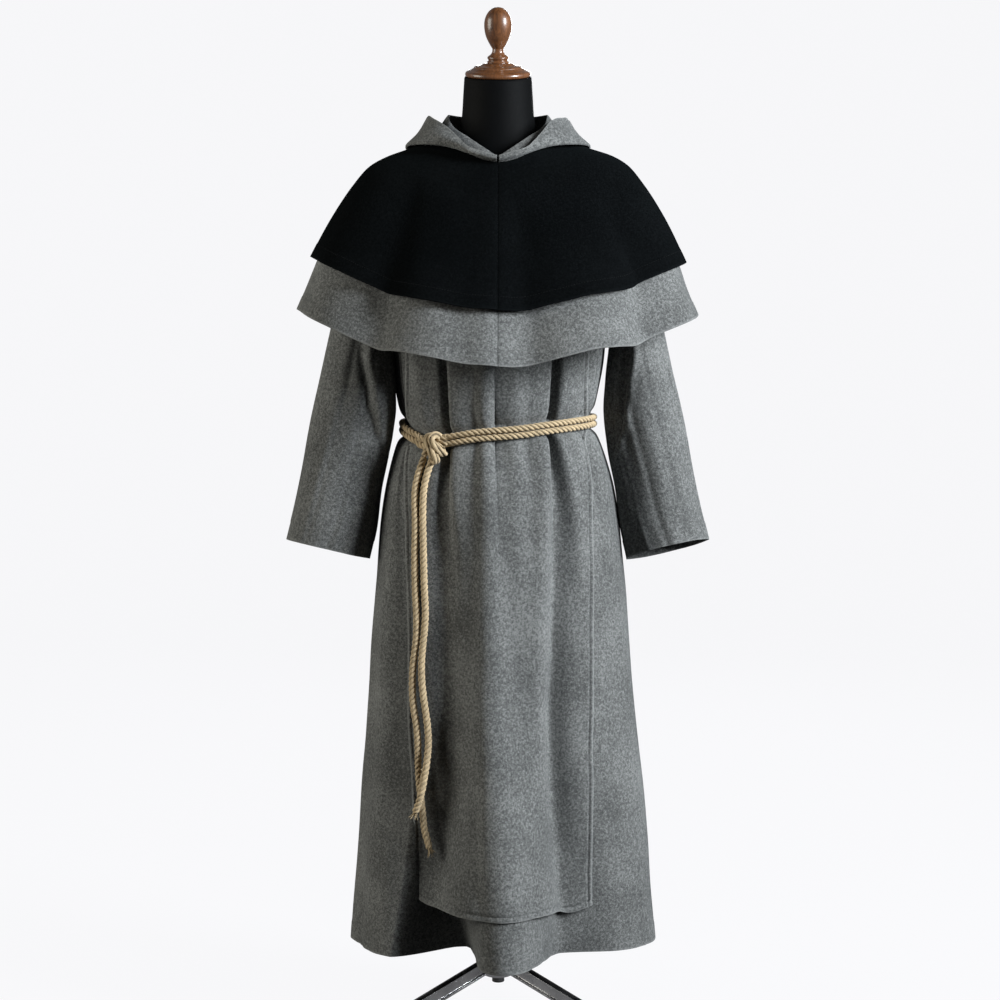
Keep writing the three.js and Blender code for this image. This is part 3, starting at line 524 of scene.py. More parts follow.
def facing(points, wraps=False):
    """The normals of a grid of points, out of its visible side. Row 0 is its top."""
    wide = np.concatenate([points[:, -2:-1], points, points[:, 1:2]], 1) if wraps else points
    across = np.gradient(wide, axis=1)
    across = across[:, 1:-1] if wraps else across
    n = np.cross(np.gradient(points, axis=0), across)
    return n / np.maximum(np.linalg.norm(n, axis=-1, keepdims=True), 1e-9)


def moved_out(points, away, wraps=False, seam=None):
    """Moves a grid along its normals. A sewn edge stays in its plane, across the axis that seam names."""
    n = facing(points, wraps)
    if seam is not None:
        for column in (0, -1):
            n[:, column, seam] = 0
        n /= np.linalg.norm(n, axis=-1, keepdims=True)
    return points + n * np.broadcast_to(away, points.shape[:2])[..., None]


def only(piece):
    """Makes a piece the one that is selected and active."""
    bpy.ops.object.select_all(action="DESELECT")
    piece.select_set(True)
    bpy.context.view_layer.objects.active = piece


def added(name, primitive, **settings):
    """Adds a primitive and names it."""
    bpy.ops.object.select_all(action="DESELECT")
    primitive(**settings)
    piece = bpy.context.object
    piece.name = piece.data.name = name
    return piece


def edit_all():
    """Opens the active piece in edit mode, all selected."""
    bpy.ops.object.mode_set(mode="EDIT")
    bpy.ops.mesh.select_all(action="SELECT")


def face_out():
    """Turns the open piece's faces outward and closes it again."""
    bpy.ops.mesh.select_all(action="SELECT")
    bpy.ops.mesh.normals_make_consistent(inside=False)
    bpy.ops.object.mode_set(mode="OBJECT")


def weld(nearer_than):
    """Closes the active piece where its points meet."""
    edit_all()
    bpy.ops.mesh.remove_doubles(threshold=nearer_than)
    face_out()


def put_share(piece, name, share):
    """Writes a share for each point of a grid, for its finish to read."""
    layer = piece.data.attributes.new(name, "FLOAT", "POINT")
    layer.data.foreach_set("value", share[::-1].ravel().astype(np.float32))


def grid(name, points, wraps=False, edge=None):
    """A grid primitive whose points are put where a table of points says, with its top row first. Edge says
    how near each point is to a cut edge, which sets the painted highlight along it."""
    rows, columns = points.shape[:2]
    piece = added(name, bpy.ops.mesh.primitive_grid_add, x_subdivisions=columns - 1, y_subdivisions=rows - 1,
                  size=2, calc_uvs=True)
    if len(piece.data.vertices) != rows * columns:
        raise RuntimeError(f"{name}: the grid has {len(piece.data.vertices)} points, not {rows} x {columns}")
    spots = (points[::-1].reshape(-1, 3) + np.array(AXIS)) * MM
    piece.data.vertices.foreach_set("co", spots.astype(np.float32).ravel())
    piece.data.update()
    if edge is not None:
        put_share(piece, "edge", edge)
    if wraps:
        edit_all()
        bpy.ops.mesh.remove_doubles(threshold=1e-5)
        bpy.ops.object.mode_set(mode="OBJECT")
    return piece


def modifier(piece, kind, **settings):
    """Adds a modifier with its settings and applies it."""
    only(piece)
    bpy.ops.object.modifier_add(type=kind)
    made = piece.modifiers[-1]
    for name, value in settings.items():
        setattr(made, name, value)
    bpy.ops.object.modifier_apply(modifier=made.name)


def finished(piece, slot, *nodes, made_of=None):
    """Gives a piece its finish, fixes it to the body and hides the CAD solids that it stands for."""
    piece.data.materials.clear()
    piece.data.materials.append((made_of or FINISHES[slot])())
    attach(piece, BODY)
    if nodes:
        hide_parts(*nodes)
    return piece


def cloth(name, points, slot, cut_edges=("hem",), seams=(), wraps=False):
    """A cloth wall: the grid is its visible side, and its edges are softly rounded. It is named after the
    cloth and the CAD solid that it stands for. Seams are rows of stitches, each (edge, inset)."""
    thickness = bpy.context.scene.habit_cloth.thickness
    piece = grid(name, points, wraps, edge_highlight_share(points, cut_edges))
    modifier(piece, "SOLIDIFY", thickness=thickness, offset=-1, use_even_offset=False)
    modifier(piece, "BEVEL", width=thickness * 0.3, segments=2, limit_method="ANGLE", angle_limit=math.radians(50))
    bpy.ops.object.shade_smooth()
    finished(piece, slot, name.split("_", 1)[1])
    lines = [inset_line(points, inset, edge) for edge, inset in seams]
    threads = [stitched(f"{name}_stitches", lines, slot)] if lines else []
    return piece


def run_from(points, edge):
    """How far each point of a grid is from one of its edges, along the cloth."""
    down = edge in ("top", "hem")
    steps = np.linalg.norm(np.diff(points, axis=0 if down else 1), axis=-1)
    run = np.cumsum(np.insert(steps, 0, 0, 0 if down else 1), 0 if down else 1)
    if edge == "hem":
        return run[-1:] - run
    return run[:, -1:] - run if edge == "right" else run


def edge_highlight_share(points, edges):
    """1 on a cut edge, down to 0 a few millimetres away: the share of the painted highlight along the cut edges."""
    return sum(bump(run_from(points, edge) / EDGE_HIGHLIGHT_REACH) for edge in edges)


def hem_band(points, width, lift):
    """Lifts the cloth by a turned-up hem's extra layer."""
    return lift * (1 - ease(run_from(points, "hem"), width - 2, width + 2))


def groove(points, edges, inset, width, depth):
    """A stitched line's groove, at an inset from edges of the cloth."""
    return -depth * sum(bump((run_from(points, edge) - inset) / width) for edge in edges)


def tunic_panel(angles, mirrored):
    """The grid of a front or back panel: angles gives its columns at each row."""
    places = runs((0, UNDERARM, 22), (UNDERARM, 10, 32), (10, 14, 36), (14, 17, 36), (17, 19, 46),
                  (19, HEM, 40))[:, None]
    angle = panel_angle(places, angles[None])
    return tunic_point(places, 180 - angle if mirrored else angle)


def build_tunic(context):
    """Cuts and hangs the tunic's two panels, with turned-up hems."""
    across = runs((0, 0.88, 42), (0.88, 1.1, 26), (1.1, 1.3, 14), (1.3, 1.47, 24), (1.47, 2, 36), (2, 3, 44))
    for name, columns, mirrored in (("front", across, False), ("back", across[::-1], True)):
        points = tunic_panel(columns, mirrored)
        band = hem_band(points, TUNIC_TURNED, HEM_LIFT) + groove(points, ["hem"], TUNIC_TURNED, *HEM_GROOVE)
        cloth(f"wool_tunic_{name}", moved_out(points, band, seam=1), "grey_wool",
              seams=[("hem", TUNIC_TURNED)])


def scapular_panel(mirrored):
    """The scapular's grid, one layer of cloth out from the tunic."""
    places = runs((0, UNDERARM, 22), (UNDERARM, 10, 36), (10, 14, 40), (14, 17, 40), (17, 19, 50),
                  (19, SCAPULAR_END, 34))[:, None]
    across = runs((0, 0.05, 14), (0.05, 0.95, 150), (0.95, 1, 14))
    left, right = strip_angle(places, -1, SIDE_SEAM), strip_angle(places, 1, SIDE_SEAM)
    angle = mix(left, right, across[None])
    if mirrored:
        angle = 180 - angle[:, ::-1]
    under = tunic_point(places, angle, under_scapular=True)
    uneven = HEM_CORNER_UP * bump(across / 0.07) - HEM_SAG * bump((across - 0.87) / 0.12)
    under[..., 2] += uneven * ease(places, SCAPULAR_END - HEM_RISE, SCAPULAR_END) * (0 if mirrored else 1)
    return moved_out(under, LAYER + WOOL, seam=1)


def build_scapular(context):
    """Lays the scapular's two strips over the tunic, with a line of stitches inside each edge."""
    for name, mirrored in (("front", False), ("back", True)):
        points = scapular_panel(mirrored)
        band = groove(points, STRIP_EDGES, STRIP_TURNED, *STRIP_GROOVE)
        cloth(f"wool_scapular_{name}", moved_out(points, band, seam=1), "grey_wool",
              STRIP_EDGES, [(edge, STRIP_TURNED) for edge in STRIP_EDGES])


def sleeve_grid(half, drop):
    """A sleeve's rings, from the armhole down to the wide cuff."""
    place = np.linspace(0, CUFF, 150)[:, None]
    turn = np.linspace(0, 2 * np.pi, 145)[None]
    a = half * turn
    down = place / CUFF
    reach = 0.5 + 0.5 * np.cos(a)
    x = mix(at(SLEEVE, "innerX", place), at(SLEEVE, "outerX", place), reach)
    behind = half * np.sin(a)
    z = mix(at(SLEEVE, "innerZ", place), at(SLEEVE, "outerZ", place), reach) - drop * down ** 4 * behind
    y = SLEEVE_Y * down + at(SLEEVE, "depth", place) * behind
    points = np.stack(np.broadcast_arrays(half * x, y, z), -1)
    around = np.degrees(turn)
    fade = ease(down, 0.12, 0.4)
    waves = sum(w["out"] * fade * bump(turn_to(around + w["lean"] * down, w["angle"]) / w["width"])
                for w in rows_of(SLEEVE_WAVES))
    creases = sum(c["out"] * bump((place - c["place"] - c["slope"] * np.sin(np.radians(around - c["angle"])))
                                  / 0.35) * bump(turn_to(around, c["angle"]) / c["width"])
                  for c in rows_of(SLEEVE_CREASES))
    inner = turn_to(around, 180)
    past, deep = (np.interp(place, SLEEVE_FOLD["place"], SLEEVE_FOLD[name]) for name in ("edge", "deep"))
    past = past - inner
    tucked = -deep * ease(past, 0, 8) * ease(inner, 0, 28) + deep / 5 * bump((past + 6) / 7)
    slow = drift(around, z, 0.9, 1.7 * half)
    slow[:, -1] = slow[:, 0]
    return points, waves + creases + tucked + slow * fade


def build_sleeves(context):
    """Hangs the two wide sleeves."""
    for name, half in SIDES.items():
        points, out = sleeve_grid(half, CUFF_DROP[name])
        points = moved_out(points, out + hem_band(points, CUFF_TURNED, HEM_LIFT), wraps=True)
        points[:, -1] = points[:, 0]
        cloth(f"wool_sleeve_{name}", points, "grey_wool",
              seams=[("hem", CUFF_TURNED)], wraps=True)


def cape_point(place, angle):
    """A point of the grey cape's outer side."""
    p = ring_point(CAPE, place, angle)
    down = np.clip((place - WAVES_FROM) / (BLACK_HEM - WAVES_FROM), 0, 1.2)
    out = down * sum(w["out"] * bump(turn_to(angle, w["angle"]) / w["width"]) for w in rows_of(CAPE_WAVES))
    out = out + drift(angle, p[..., 2], 0.8, 0.6) * ease(place, 1.5, 4)
    p = outwards(p, out)
    drawn_up = at(CAPE_HEM, "up", in_order(CAPE_HEM, turn_to(angle, 0)))
    p[..., 2] += 0.3 * out + np.maximum(down / HEM_DRAWN - 1, 0) ** 2 * drawn_up
    return p


def cape_grid(half, end, rows):
    """Half a cape, from the seam at its centre front to the one behind."""
    gap = 0.03
    ends = (gap, 180 - gap) if half > 0 else (180 + gap, 360 - gap)
    return cape_point(np.linspace(0, end, rows)[:, None], np.linspace(*ends, 121)[None])


def build_capes(context):
    """Lays the grey shoulder cape and the shorter black one over it, each sewn at its centre front and back."""
    black_rows = 84
    lift = at({"lift": BLACK_LIFT}, "lift", np.linspace(0, BLACK_HEM, black_rows))[:, None]
    for name, half in SIDES.items():
        for layer, end, rows, away, colour, under in (
                ("lower", GREY_HEM, 96, 0, "grey", ["wool_tunic_front", "wool_tunic_back"]),
                ("upper", BLACK_HEM, black_rows, lift, "black", [f"wool_cape_lower_{name}"])):
            points = cape_grid(half, end, rows)
            seams = groove(points, ["left", "right"], 0, *SEAM_GROOVE)
            out = away + hem_band(points, CAPE_TURNED, CAPE_LIFT) + seams
            cloth(f"wool_cape_{layer}_{name}", moved_out(points, out, seam=0), f"{colour}_wool",
                  seams=[("hem", CAPE_TURNED)])


def smooth_line(points, t):
    """Points at t, from 0 to 1, on smooth curves through the given points, one curve for each column."""
    ends = [2 * points[0] - points[1], *points, 2 * points[-1] - points[-2]]
    knots = np.stack(ends)
    run = t * (len(points) - 1)
    i = np.minimum(np.floor(run).astype(int), len(points) - 2)
    u = (run - i)[:, None, None]
    a, b, c, d = (knots[i + k] for k in range(4))

    def span(p, q):
        return np.sqrt(np.maximum(np.linalg.norm(q - p, axis=-1, keepdims=True), 1e-6))

    ab, bc, cd = span(a, b), span(b, c), span(c, d)
    start = ((b - a) / ab - (c - a) / (ab + bc) + (c - b) / bc) * bc
    end = ((c - b) / bc - (d - b) / (bc + cd) + (d - c) / cd) * bc
    return (b + start * u + (-3 * b + 3 * c - 2 * start - end) * u ** 2
            + (2 * b - 2 * c + start + end) * u ** 3)


def hood_grid(half):
    """Half the hood: at each angle the cloth rises, turns over and falls to its rim."""
    place = runs((0, 2, 26), (2, 5, 40), (5, 9, 54))
    angle = at(HOOD, "angle", place)
    angle[-1] -= 0.1
    a = np.radians(angle)
    seam = ring_point(CAPE, np.zeros_like(angle), half * angle) * np.array([0.98, 0.98, 1])
    seam[:, 2] += HOOD_LIFT
    lines = [seam]
    uneven = max(half, 0) * (7 * bump((angle - 57) / 13) - 6 * bump((angle - 93) / 13))
    for name, share in (("crest", 0), ("inner", 0), ("fold", 0), ("outer", 0.4), ("rim", 1)):
        r = at(HOOD, name + "R", place)
        lines.append(np.stack([half * r * np.sin(a), -r * np.cos(a), at(HOOD, name + "Z", place) + share * uneven],
                              -1))
    down = np.linspace(0, 1, 100)
    points = smooth_line(np.stack(lines), down)
    across = bump((angle - HOLLOW["angle"]) / HOLLOW["half"])
    points = outwards(points, -(HOLLOW["deep"] * across * bump((down[:, None] - HOLLOW["down"]) / HOLLOW["long"])))
    return points if half > 0 else points[:, ::-1]


def build_hood(context):
    """Folds the hood down round the neck."""
    for name, half in SIDES.items():
        cloth(f"wool_hood_{name}", hood_grid(half), "grey_wool")


# ---- Rope ----
def run_of(path):
    """How far along a path each of its points is."""
    return np.concatenate([[0], np.cumsum(np.linalg.norm(np.diff(path, axis=0), axis=1))])


def read_at(where, run, values):
    """Values, three to a point, read at places along a run."""
    return np.stack([np.interp(where, run, values[:, k]) for k in range(3)], -1)


def through(points, step):
    """Evenly spaced points on a smooth curve through the given ones, in millimetres."""
    fine = smooth_line(np.array(points, float)[:, None], np.linspace(0, 1, 12 * len(points)))[:, 0]
    run = run_of(fine)
    return read_at(np.linspace(0, run[-1], max(int(round(run[-1] / step)), 2) + 1), run, fine)


def frames(path):
    """Two directions across a path at each of its points, carried along it without twist."""
    along = np.gradient(path, axis=0)
    along /= np.linalg.norm(along, axis=1, keepdims=True)
    side = np.cross(along[0], (0.3, 0.9, 0.1))
    sides = []
    for direction in along:
        side = side - direction * side.dot(direction)
        side = side / np.linalg.norm(side)
        sides.append(side)
    sides = np.array(sides)
    return sides, np.cross(along, sides)


def strand(name, path, radius, sides=10, rope=None):
    """One strand: a tube along a path, with closed round ends. Its UV runs round it and along it, and where it
    is part of a rope, (middle line, diameter), a share says how deep between the strands a point is, for the painted
    shade there."""
    right, up = frames(path)
    turn = np.linspace(0, 2 * np.pi, sides + 1)[None, :, None]
    radius = np.broadcast_to(radius, len(path))[:, None, None]
    points = path[:, None] + radius * (np.cos(turn) * right[:, None] + np.sin(turn) * up[:, None])
    points = np.concatenate([np.repeat(path[:1, None], sides + 1, 1), points,
                             np.repeat(path[-1:, None], sides + 1, 1)])
    piece = grid(name, points)
    if rope:
        line, diameter = rope
        off = np.linalg.norm(points - np.concatenate([line[:1], line, line[-1:]])[:, None], axis=-1)
        # Painted shade: points deep between the strands get a share that darkens their colour in the finish
        put_share(piece, "buried", 1 - ease(off / diameter, *PAINTED_STRAND_SHADE_RANGE))
    layer = piece.data.uv_layers.active.data
    uv = np.empty(len(layer) * 2, np.float32)
    layer.foreach_get("uv", uv)
    uv[0::2] *= 2 * np.pi * float(radius.mean()) * MM
    uv[1::2] *= np.linalg.norm(np.diff(path, axis=0), axis=1).sum() * MM
    layer.foreach_set("uv", uv)
    weld(1e-6)
    return piece


def round_ends(path, radius, length):
    """A radius along a path that closes in a round end at both ends."""
    run = run_of(path)
    off = np.minimum(run, run[-1] - run)
    return radius * np.sqrt(np.clip(1 - (1 - np.minimum(off / length, 1)) ** 2, 0.02, 1))


def joined(name, pieces):
    """Joins pieces into one smooth one."""
    only(pieces[0])
    for piece in pieces:
        piece.select_set(True)
    bpy.ops.object.join()
    pieces[0].name = pieces[0].data.name = name
    bpy.ops.object.shade_smooth()
    return pieces[0]


def twisted(name, path, diameter, lay, start=0.0):
    """Three strands twisted round a path, a turn in each lay length."""
    right, up = frames(path)
    run, size = run_of(path), diameter * 0.25
    pieces = []
    for k in range(3):
        turn = (2 * np.pi * (run / lay + k / 3) + start)[:, None]
        line = path + size * (np.cos(turn) * right + np.sin(turn) * up)
        pieces.append(strand(f"{name}_{k}", line, round_ends(line, size, size), rope=(path, diameter)))
    return joined(name, pieces)


ROPE_STEP, KNOT_STEP = 3.0, 2.0     # between the points of a rope's middle line
PAINTED_STRAND_SHADE_RANGE = (0.27, 0.45)           # a point this share of the diameter from the middle gets the full painted shade between the strands, or none
SEAT_ROUNDS, SMOOTH_ROUNDS = 4, 6   # how often a hanging rope is pushed clear and smoothed
HANG_POINTS = 12                # points over which it gets free of the knot
YARNS = 11                      # loose ones at a cut end
BELT_START, BELT_END = -32, -49 + 360   # the angles of its ends, on both sides of the knot
BELT_CLEAR = ROPE_D / 2 + 1.2   # from the cloth to the middle of the rope
TAUT = 0.90                     # round the waist the rope is drawn a little thinner
BELT_RING = 11.5                # the place of the belt among the tunic's rings
BELT_APART = 5.8                # from the belt's middle line to each of its two runs
BELT_OVER_STRIP = WOOL + LAYER + 1.9    # how much further out it lies on the scapular
# Rope ends, from the knot down, laid on the front of the scapular: x, y and z
TAIL_LONG = [
    (-124, -103, 1039.5), (-132, -105, 1018), (-139, -109, 990), (-140, -115, 962), (-139, -122, 927),
    (-140, -124, 887), (-140, -126, 846), (-139, -128, 805), (-137, -130, 770), (-138, -130, 729),
    (-143, -129, 693), (-145, -129, 652), (-143, -131, 617), (-137, -134, 582), (-135, -135, 546),
    (-135, -134, 511), (-132, -135, 475), (-128, -137, 440), (-124, -138, 405), (-119, -140.5, 388),
    (-115, -143.5, 376),
]
TAIL_SHORT = [
    (-111, -109, 1034.8), (-118, -112, 1016), (-124, -115, 988), (-126, -121, 952), (-126, -127, 912),
    (-125, -130, 866), (-124, -132, 820), (-122, -134, 780), (-124, -134, 744), (-128, -134, 708),
    (-129, -135, 673), (-126, -137, 637), (-120, -140, 597), (-117, -141, 561), (-120, -146, 524),
    (-126, -152, 488), (-133, -151, 457), (-140, -147, 439),
]
# The knot's turns of rope, laid over the ends of the belt: two fat ones side by side, and the loop above
KNOT_TURNS = [
    [(-97, -100, 1069), (-100, -107, 1073.5), (-106.5, -111, 1075.5), (-111.5, -115, 1070), (-108.8, -119.5, 1061.5),
     (-102.2, -120.5, 1053.5), (-95.5, -116, 1047.5), (-91, -108, 1045), (-93, -101, 1049)],
    [(-108, -97, 1066), (-113, -100, 1073.5), (-118.5, -104, 1072), (-120, -109, 1065), (-116, -115, 1056.5),
     (-111, -120.5, 1047.5), (-106.5, -122.5, 1040), (-104, -119, 1033.5), (-107, -112, 1032), (-111, -108, 1036)],
]
KNOT_FAT, KNOT_THIN = 1.12, 0.94    # the rope in its turns, and where it goes under them
KNOT_LAY = 0.09
# Where the belt's two runs come in from the left and the right and go under the turns, and where the rope's
# two ends come out below them
KNOT_ENDS = [
    [(-136, -83, 1071.5), (-129, -90, 1069.5), (-121, -97, 1067), (-112, -101, 1063)],
    [(-136, -83, 1060.5), (-129, -91, 1057.5), (-122, -98, 1056), (-113, -103, 1055)],
    [(-84, -109, 1073), (-92, -107, 1071), (-100, -104, 1067.5), (-107, -101, 1063)],
    [(-84, -110, 1062.5), (-92, -108, 1060), (-100, -106, 1058.5), (-108, -103, 1058)],
    [(-124, -103, 1039.5), (-122.5, -106, 1047), (-119, -107, 1055), (-114, -105, 1062)],
    [(-111, -109, 1034.8), (-112.5, -111, 1043), (-112, -110, 1052), (-109, -106, 1060)],
]


def laid(path, radius, strip, under=None):
    """Keeps a hanging rope in front of the cloth, and of another rope that it crosses."""
    spots, out = strip.reshape(-1, 3), facing(strip).reshape(-1, 3)
    hang = ease(np.arange(len(path)), 0, HANG_POINTS)
    for _ in range(SEAT_ROUNDS):
        near = np.linalg.norm(path[:, None] - spots, axis=2).argmin(1)
        n = out[near]
        move = np.maximum(radius - ((path - spots[near]) * n).sum(1), 0)
        if under is not None:
            off = path[:, None] - under
            off = off[np.arange(len(path)), np.linalg.norm(off, axis=2).argmin(1)]
            over = (off * n).sum(1)
            aside = np.linalg.norm(off, axis=1) ** 2 - over ** 2
            move = np.maximum(move, np.sqrt(np.maximum(4 * radius ** 2 - aside, 0)) - over)
        path = path + n * (move * hang)[:, None]
        for _ in range(SMOOTH_ROUNDS):
            path[1:-1] = (path[:-2] + 2 * path[1:-1] + path[2:]) / 4
    return path


def build_rope_ends(context):
    """Hangs the rope's two free ends from the knot, each a length of real rope."""
    settings = context.scene.habit_rope
    diameter = settings.diameter / MM
    strip, path = scapular_panel(False), None
    for name, points, start in (("long", TAIL_LONG, 0.4), ("short", TAIL_SHORT, 1.6)):
        path = laid(through(points, ROPE_STEP), diameter / 2, strip, path)
        tail = twisted(f"jute_tail_{name}", path, diameter, settings.lay / MM, start)
        finished(tail, "jute_rope", f"rope_tail_{name}")
        fray = finished(frayed_end(f"jute_fray_{name}", path, diameter), "jute_rope")


def frayed_end(name, path, diameter):
    """The loose yarns at a cut rope's end, spread and bent."""
    end, back = path[-1], path[-4]
    along = (end - back) / np.linalg.norm(end - back)
    right, up = (v[-1] for v in frames(path))
    yarns = []
    for k in range(YARNS):
        turn = 2.4 * k
        out = math.cos(turn) * right + math.sin(turn) * up
        reach = diameter * (0.18 + 0.22 * ((k * 0.618) % 1))
        long = 9 + 11 * ((k * 0.414) % 1)
        start = end - along * 4 + out * reach * 0.6
        points = [start] + [start + along * long * far + out * reach * wide
                            for far, wide in ((0.45, 0.3), (0.8, 0.9), (1, 1.5))]
        line = through(points, KNOT_STEP)
        yarns.append(strand(f"{name}_{k}", line, np.linspace(1.1, 0.35, len(line)), 6))
    return joined(name, yarns)


def belt_path(lift):
    """The middle line of one of the belt's two runs."""
    angle = np.linspace(BELT_START, BELT_END, 37)
    p = ring_point(TUNIC, np.full(37, BELT_RING), angle)
    off_side = between(np.abs(np.sin(np.radians(angle))), 1, 0.93)
    p = outwards(p, BELT_CLEAR + BELT_OVER_STRIP * off_side)
    p[:, 2] = belt_height(angle) + lift
    return through(p, ROPE_STEP)


def build_belt(context):
    """Winds the doubled rope round the waist."""
    settings = context.scene.habit_rope
    for name, side, start in (("upper", 1, 0.0), ("lower", -1, 2.2)):
        run = twisted(f"jute_belt_{name}", belt_path(side * BELT_APART), settings.diameter / MM * TAUT,
                      settings.lay / MM, start)
        finished(run, "jute_rope", f"belt_{name}")


def build_knot(context):
    """Ties the knot: two fat turns over the ends of the belt, and the rope's own ends under them."""
    settings = context.scene.habit_rope
    diameter, lay = settings.diameter / MM, settings.lay / MM
    parts = [twisted(f"knot_{kind}_{k}", through(points, KNOT_STEP), diameter * fat, turn, start + step * k)
             for kind, lines, fat, turn, start, step in (
                 ("turn", KNOT_TURNS, KNOT_FAT, KNOT_LAY / MM, 1.1, 0.8), ("end", KNOT_ENDS, KNOT_THIN, lay, 0, 0.9))
             for k, points in enumerate(lines)]
    finished(joined("jute_knot", parts), "jute_rope", "belt_knot")


# ---- Dress form ----
def build_torso(context):
    """Covers the limbless form in black jersey."""
    places = runs((0, 3, 26), (3, 12, 72), (12, 18, 44))[:, None]
    rings = ring_point(FORM, places, np.linspace(0, 360, 145)[None])
    rings[:, -1] = rings[:, 0]

    def plate(ring, share, sink):
        flat = ring.mean(0) + (ring - ring.mean(0)) * share
        flat[:, 2] += sink
        return flat

    top = [plate(rings[0], share, 0) for share in (0, 0.5, 0.94, 0.985)]
    rings[0] = plate(rings[0], 1, -1.5)
    low = [plate(rings[-1], share, 0) for share in (0.99, 0.96, 0.6, 0)]
    piece = grid("jersey_torso", np.concatenate([np.stack(top), rings, np.stack(low)]))
    weld(1e-5)
    bpy.ops.object.shade_smooth_by_angle(angle=math.radians(50))
    finished(piece, "black_jersey", "form_torso")


def turned(name, lines, place, slot, *nodes, sides=80):
    """A turned piece. A round plate is drawn up along the profile, given as smooth lines of (radius,
    height) that meet at crisp edges, and the piece is then put in its place."""
    profile = []
    for line in lines:
        knots = np.array([(*point, 0) for point in line], float)[:, None]
        count = 2 if len(line) == 2 else 7 * (len(line) - 1) + 1
        profile += [tuple(p[:2]) for p in smooth_line(knots, np.linspace(0, 1, count))[:, 0]][bool(profile):]
    r, h = profile[0]
    piece = added(name, bpy.ops.mesh.primitive_circle_add, vertices=sides, radius=r * MM, fill_type="NGON",
                  location=(0, 0, h * MM))
    bpy.ops.object.transform_apply(location=True)
    edit_all()
    for (r0, h0), (r1, h1) in zip(profile, profile[1:]):
        bpy.ops.mesh.extrude_region_move(TRANSFORM_OT_translate={"value": (0, 0, (h1 - h0) * MM)})
        if r1 != r0:
            bpy.ops.transform.resize(value=(r1 / r0, r1 / r0, 1), center_override=(0, 0, h1 * MM))
    face_out()
    bpy.ops.object.shade_smooth_by_angle(angle=math.radians(32))
    return put_in_place(piece, place, slot, *nodes)


def put_in_place(piece, place, slot, *nodes):
    """Puts a piece made at the origin in its place, and keeps its object at the origin."""
    only(piece)
    piece.matrix_world = place
    bpy.ops.object.transform_apply(location=True, rotation=True, scale=True)
    return finished(piece, slot, *nodes)


def crisp(*points):
    """A profile of straight steps with a crisp edge at each point."""
    return [list(pair) for pair in zip(points, points[1:])]


ON_AXIS = Matrix.Translation(AXIS * MM)
ON_NECK = ON_AXIS @ Matrix.Translation((0, 0, NECK_TOP * MM)) @ Matrix.Rotation(math.radians(NECK_SLANT), 4, "X")


def build_wood(context):
    """Turns the form's neck cap and its finial."""
    turned("wood_cap", [
        [(52, 0.4), (55.2, 1.2), (56.6, 4.5), (55.6, 8), (52.6, 9.8)], [(52.6, 9.8), (51.4, 10.6)],
        [(51.4, 10.6), (49, 11.2), (43, 14.4)], [(43, 14.4), (41.8, 15)],
        [(41.8, 15), (40.4, 17.4), (37, 18.6)], [(37, 18.6), (30, 19.6), (24, 23)], [(24, 23), (1, 23)],
    ], ON_NECK, "turned_wood", "form_neck_cap")
    turned("wood_finial", [
        [(18.5, 23.3), (19.2, 24.6), (18.4, 26)], [(18.4, 26), (16.4, 27.4), (16.6, 29)],
        [(16.6, 29), (18, 31), (18, 33.4), (15.4, 35.6)], [(15.4, 35.6), (12.4, 38), (10, 42), (9.5, 47)],
        [(9.5, 47), (15, 56), (21, 69), (23.6, 85), (22, 98), (16, 109), (8, 115), (0.6, 116.5)],
    ], ON_NECK, "turned_wood", "form_finial")


# ---- Stand ----
POLE_R, POLE_GAP = 12.5, 0.5
HUB_Z, HUB_H, HUB_R = 130, 40, 26
HUB_LOW = HUB_Z - HUB_H / 2 + 4
LEG_REACH = 310
LEG_W, LEG_T, GROOVE = 16, 24, 3
FOOT_H = 14
LEG_ANGLES = {"right": 60, "back": 180, "left": -60}
LEG_DROP = HUB_Z - FOOT_H - LEG_T / 2 + 2
LEG_FALL = math.atan2(LEG_DROP, LEG_REACH - HUB_R)
LEG_START = HUB_R + 0.3 + LEG_T / 2 * math.sin(LEG_FALL)
LEG_LENGTH = (LEG_REACH - LEG_START) / math.cos(LEG_FALL)


def build_leg(side, place):
    """A leg: a bar with a groove drawn in along each side."""
    piece = added(f"steel_leg_{side}", bpy.ops.mesh.primitive_cube_add, size=1,
                  location=(0, 0, LEG_LENGTH / 2 * MM), scale=(LEG_W * MM, LEG_T * MM, LEG_LENGTH * MM))
    bpy.ops.object.transform_apply(location=True, scale=True)
    edge = LEG_T / 3
    bpy.ops.object.mode_set(mode="EDIT")
    for y in (-edge, -edge + 1, edge - 1, edge):
        bpy.ops.mesh.select_all(action="SELECT")
        bpy.ops.mesh.bisect(plane_co=(0, y * MM, 0), plane_no=(0, 1, 0))
    bpy.ops.mesh.select_all(action="DESELECT")
    bpy.ops.object.mode_set(mode="OBJECT")
    for v in piece.data.vertices:
        v.select = abs(v.co.y) < (edge - 0.5) * MM
    bpy.ops.object.mode_set(mode="EDIT")
    bpy.ops.mesh.select_mode(type="VERT")
    bpy.ops.transform.resize(value=(1 - 2 * GROOVE / LEG_W, 1, 1), center_override=(0, 0, 0))
    face_out()
    modifier(piece, "BEVEL", width=0.9 * MM, segments=3, limit_method="ANGLE", angle_limit=math.radians(40))
    bpy.ops.object.shade_smooth_by_angle(angle=math.radians(40))
    put_in_place(piece, place, "polished_steel", f"tripod_leg_{side}")


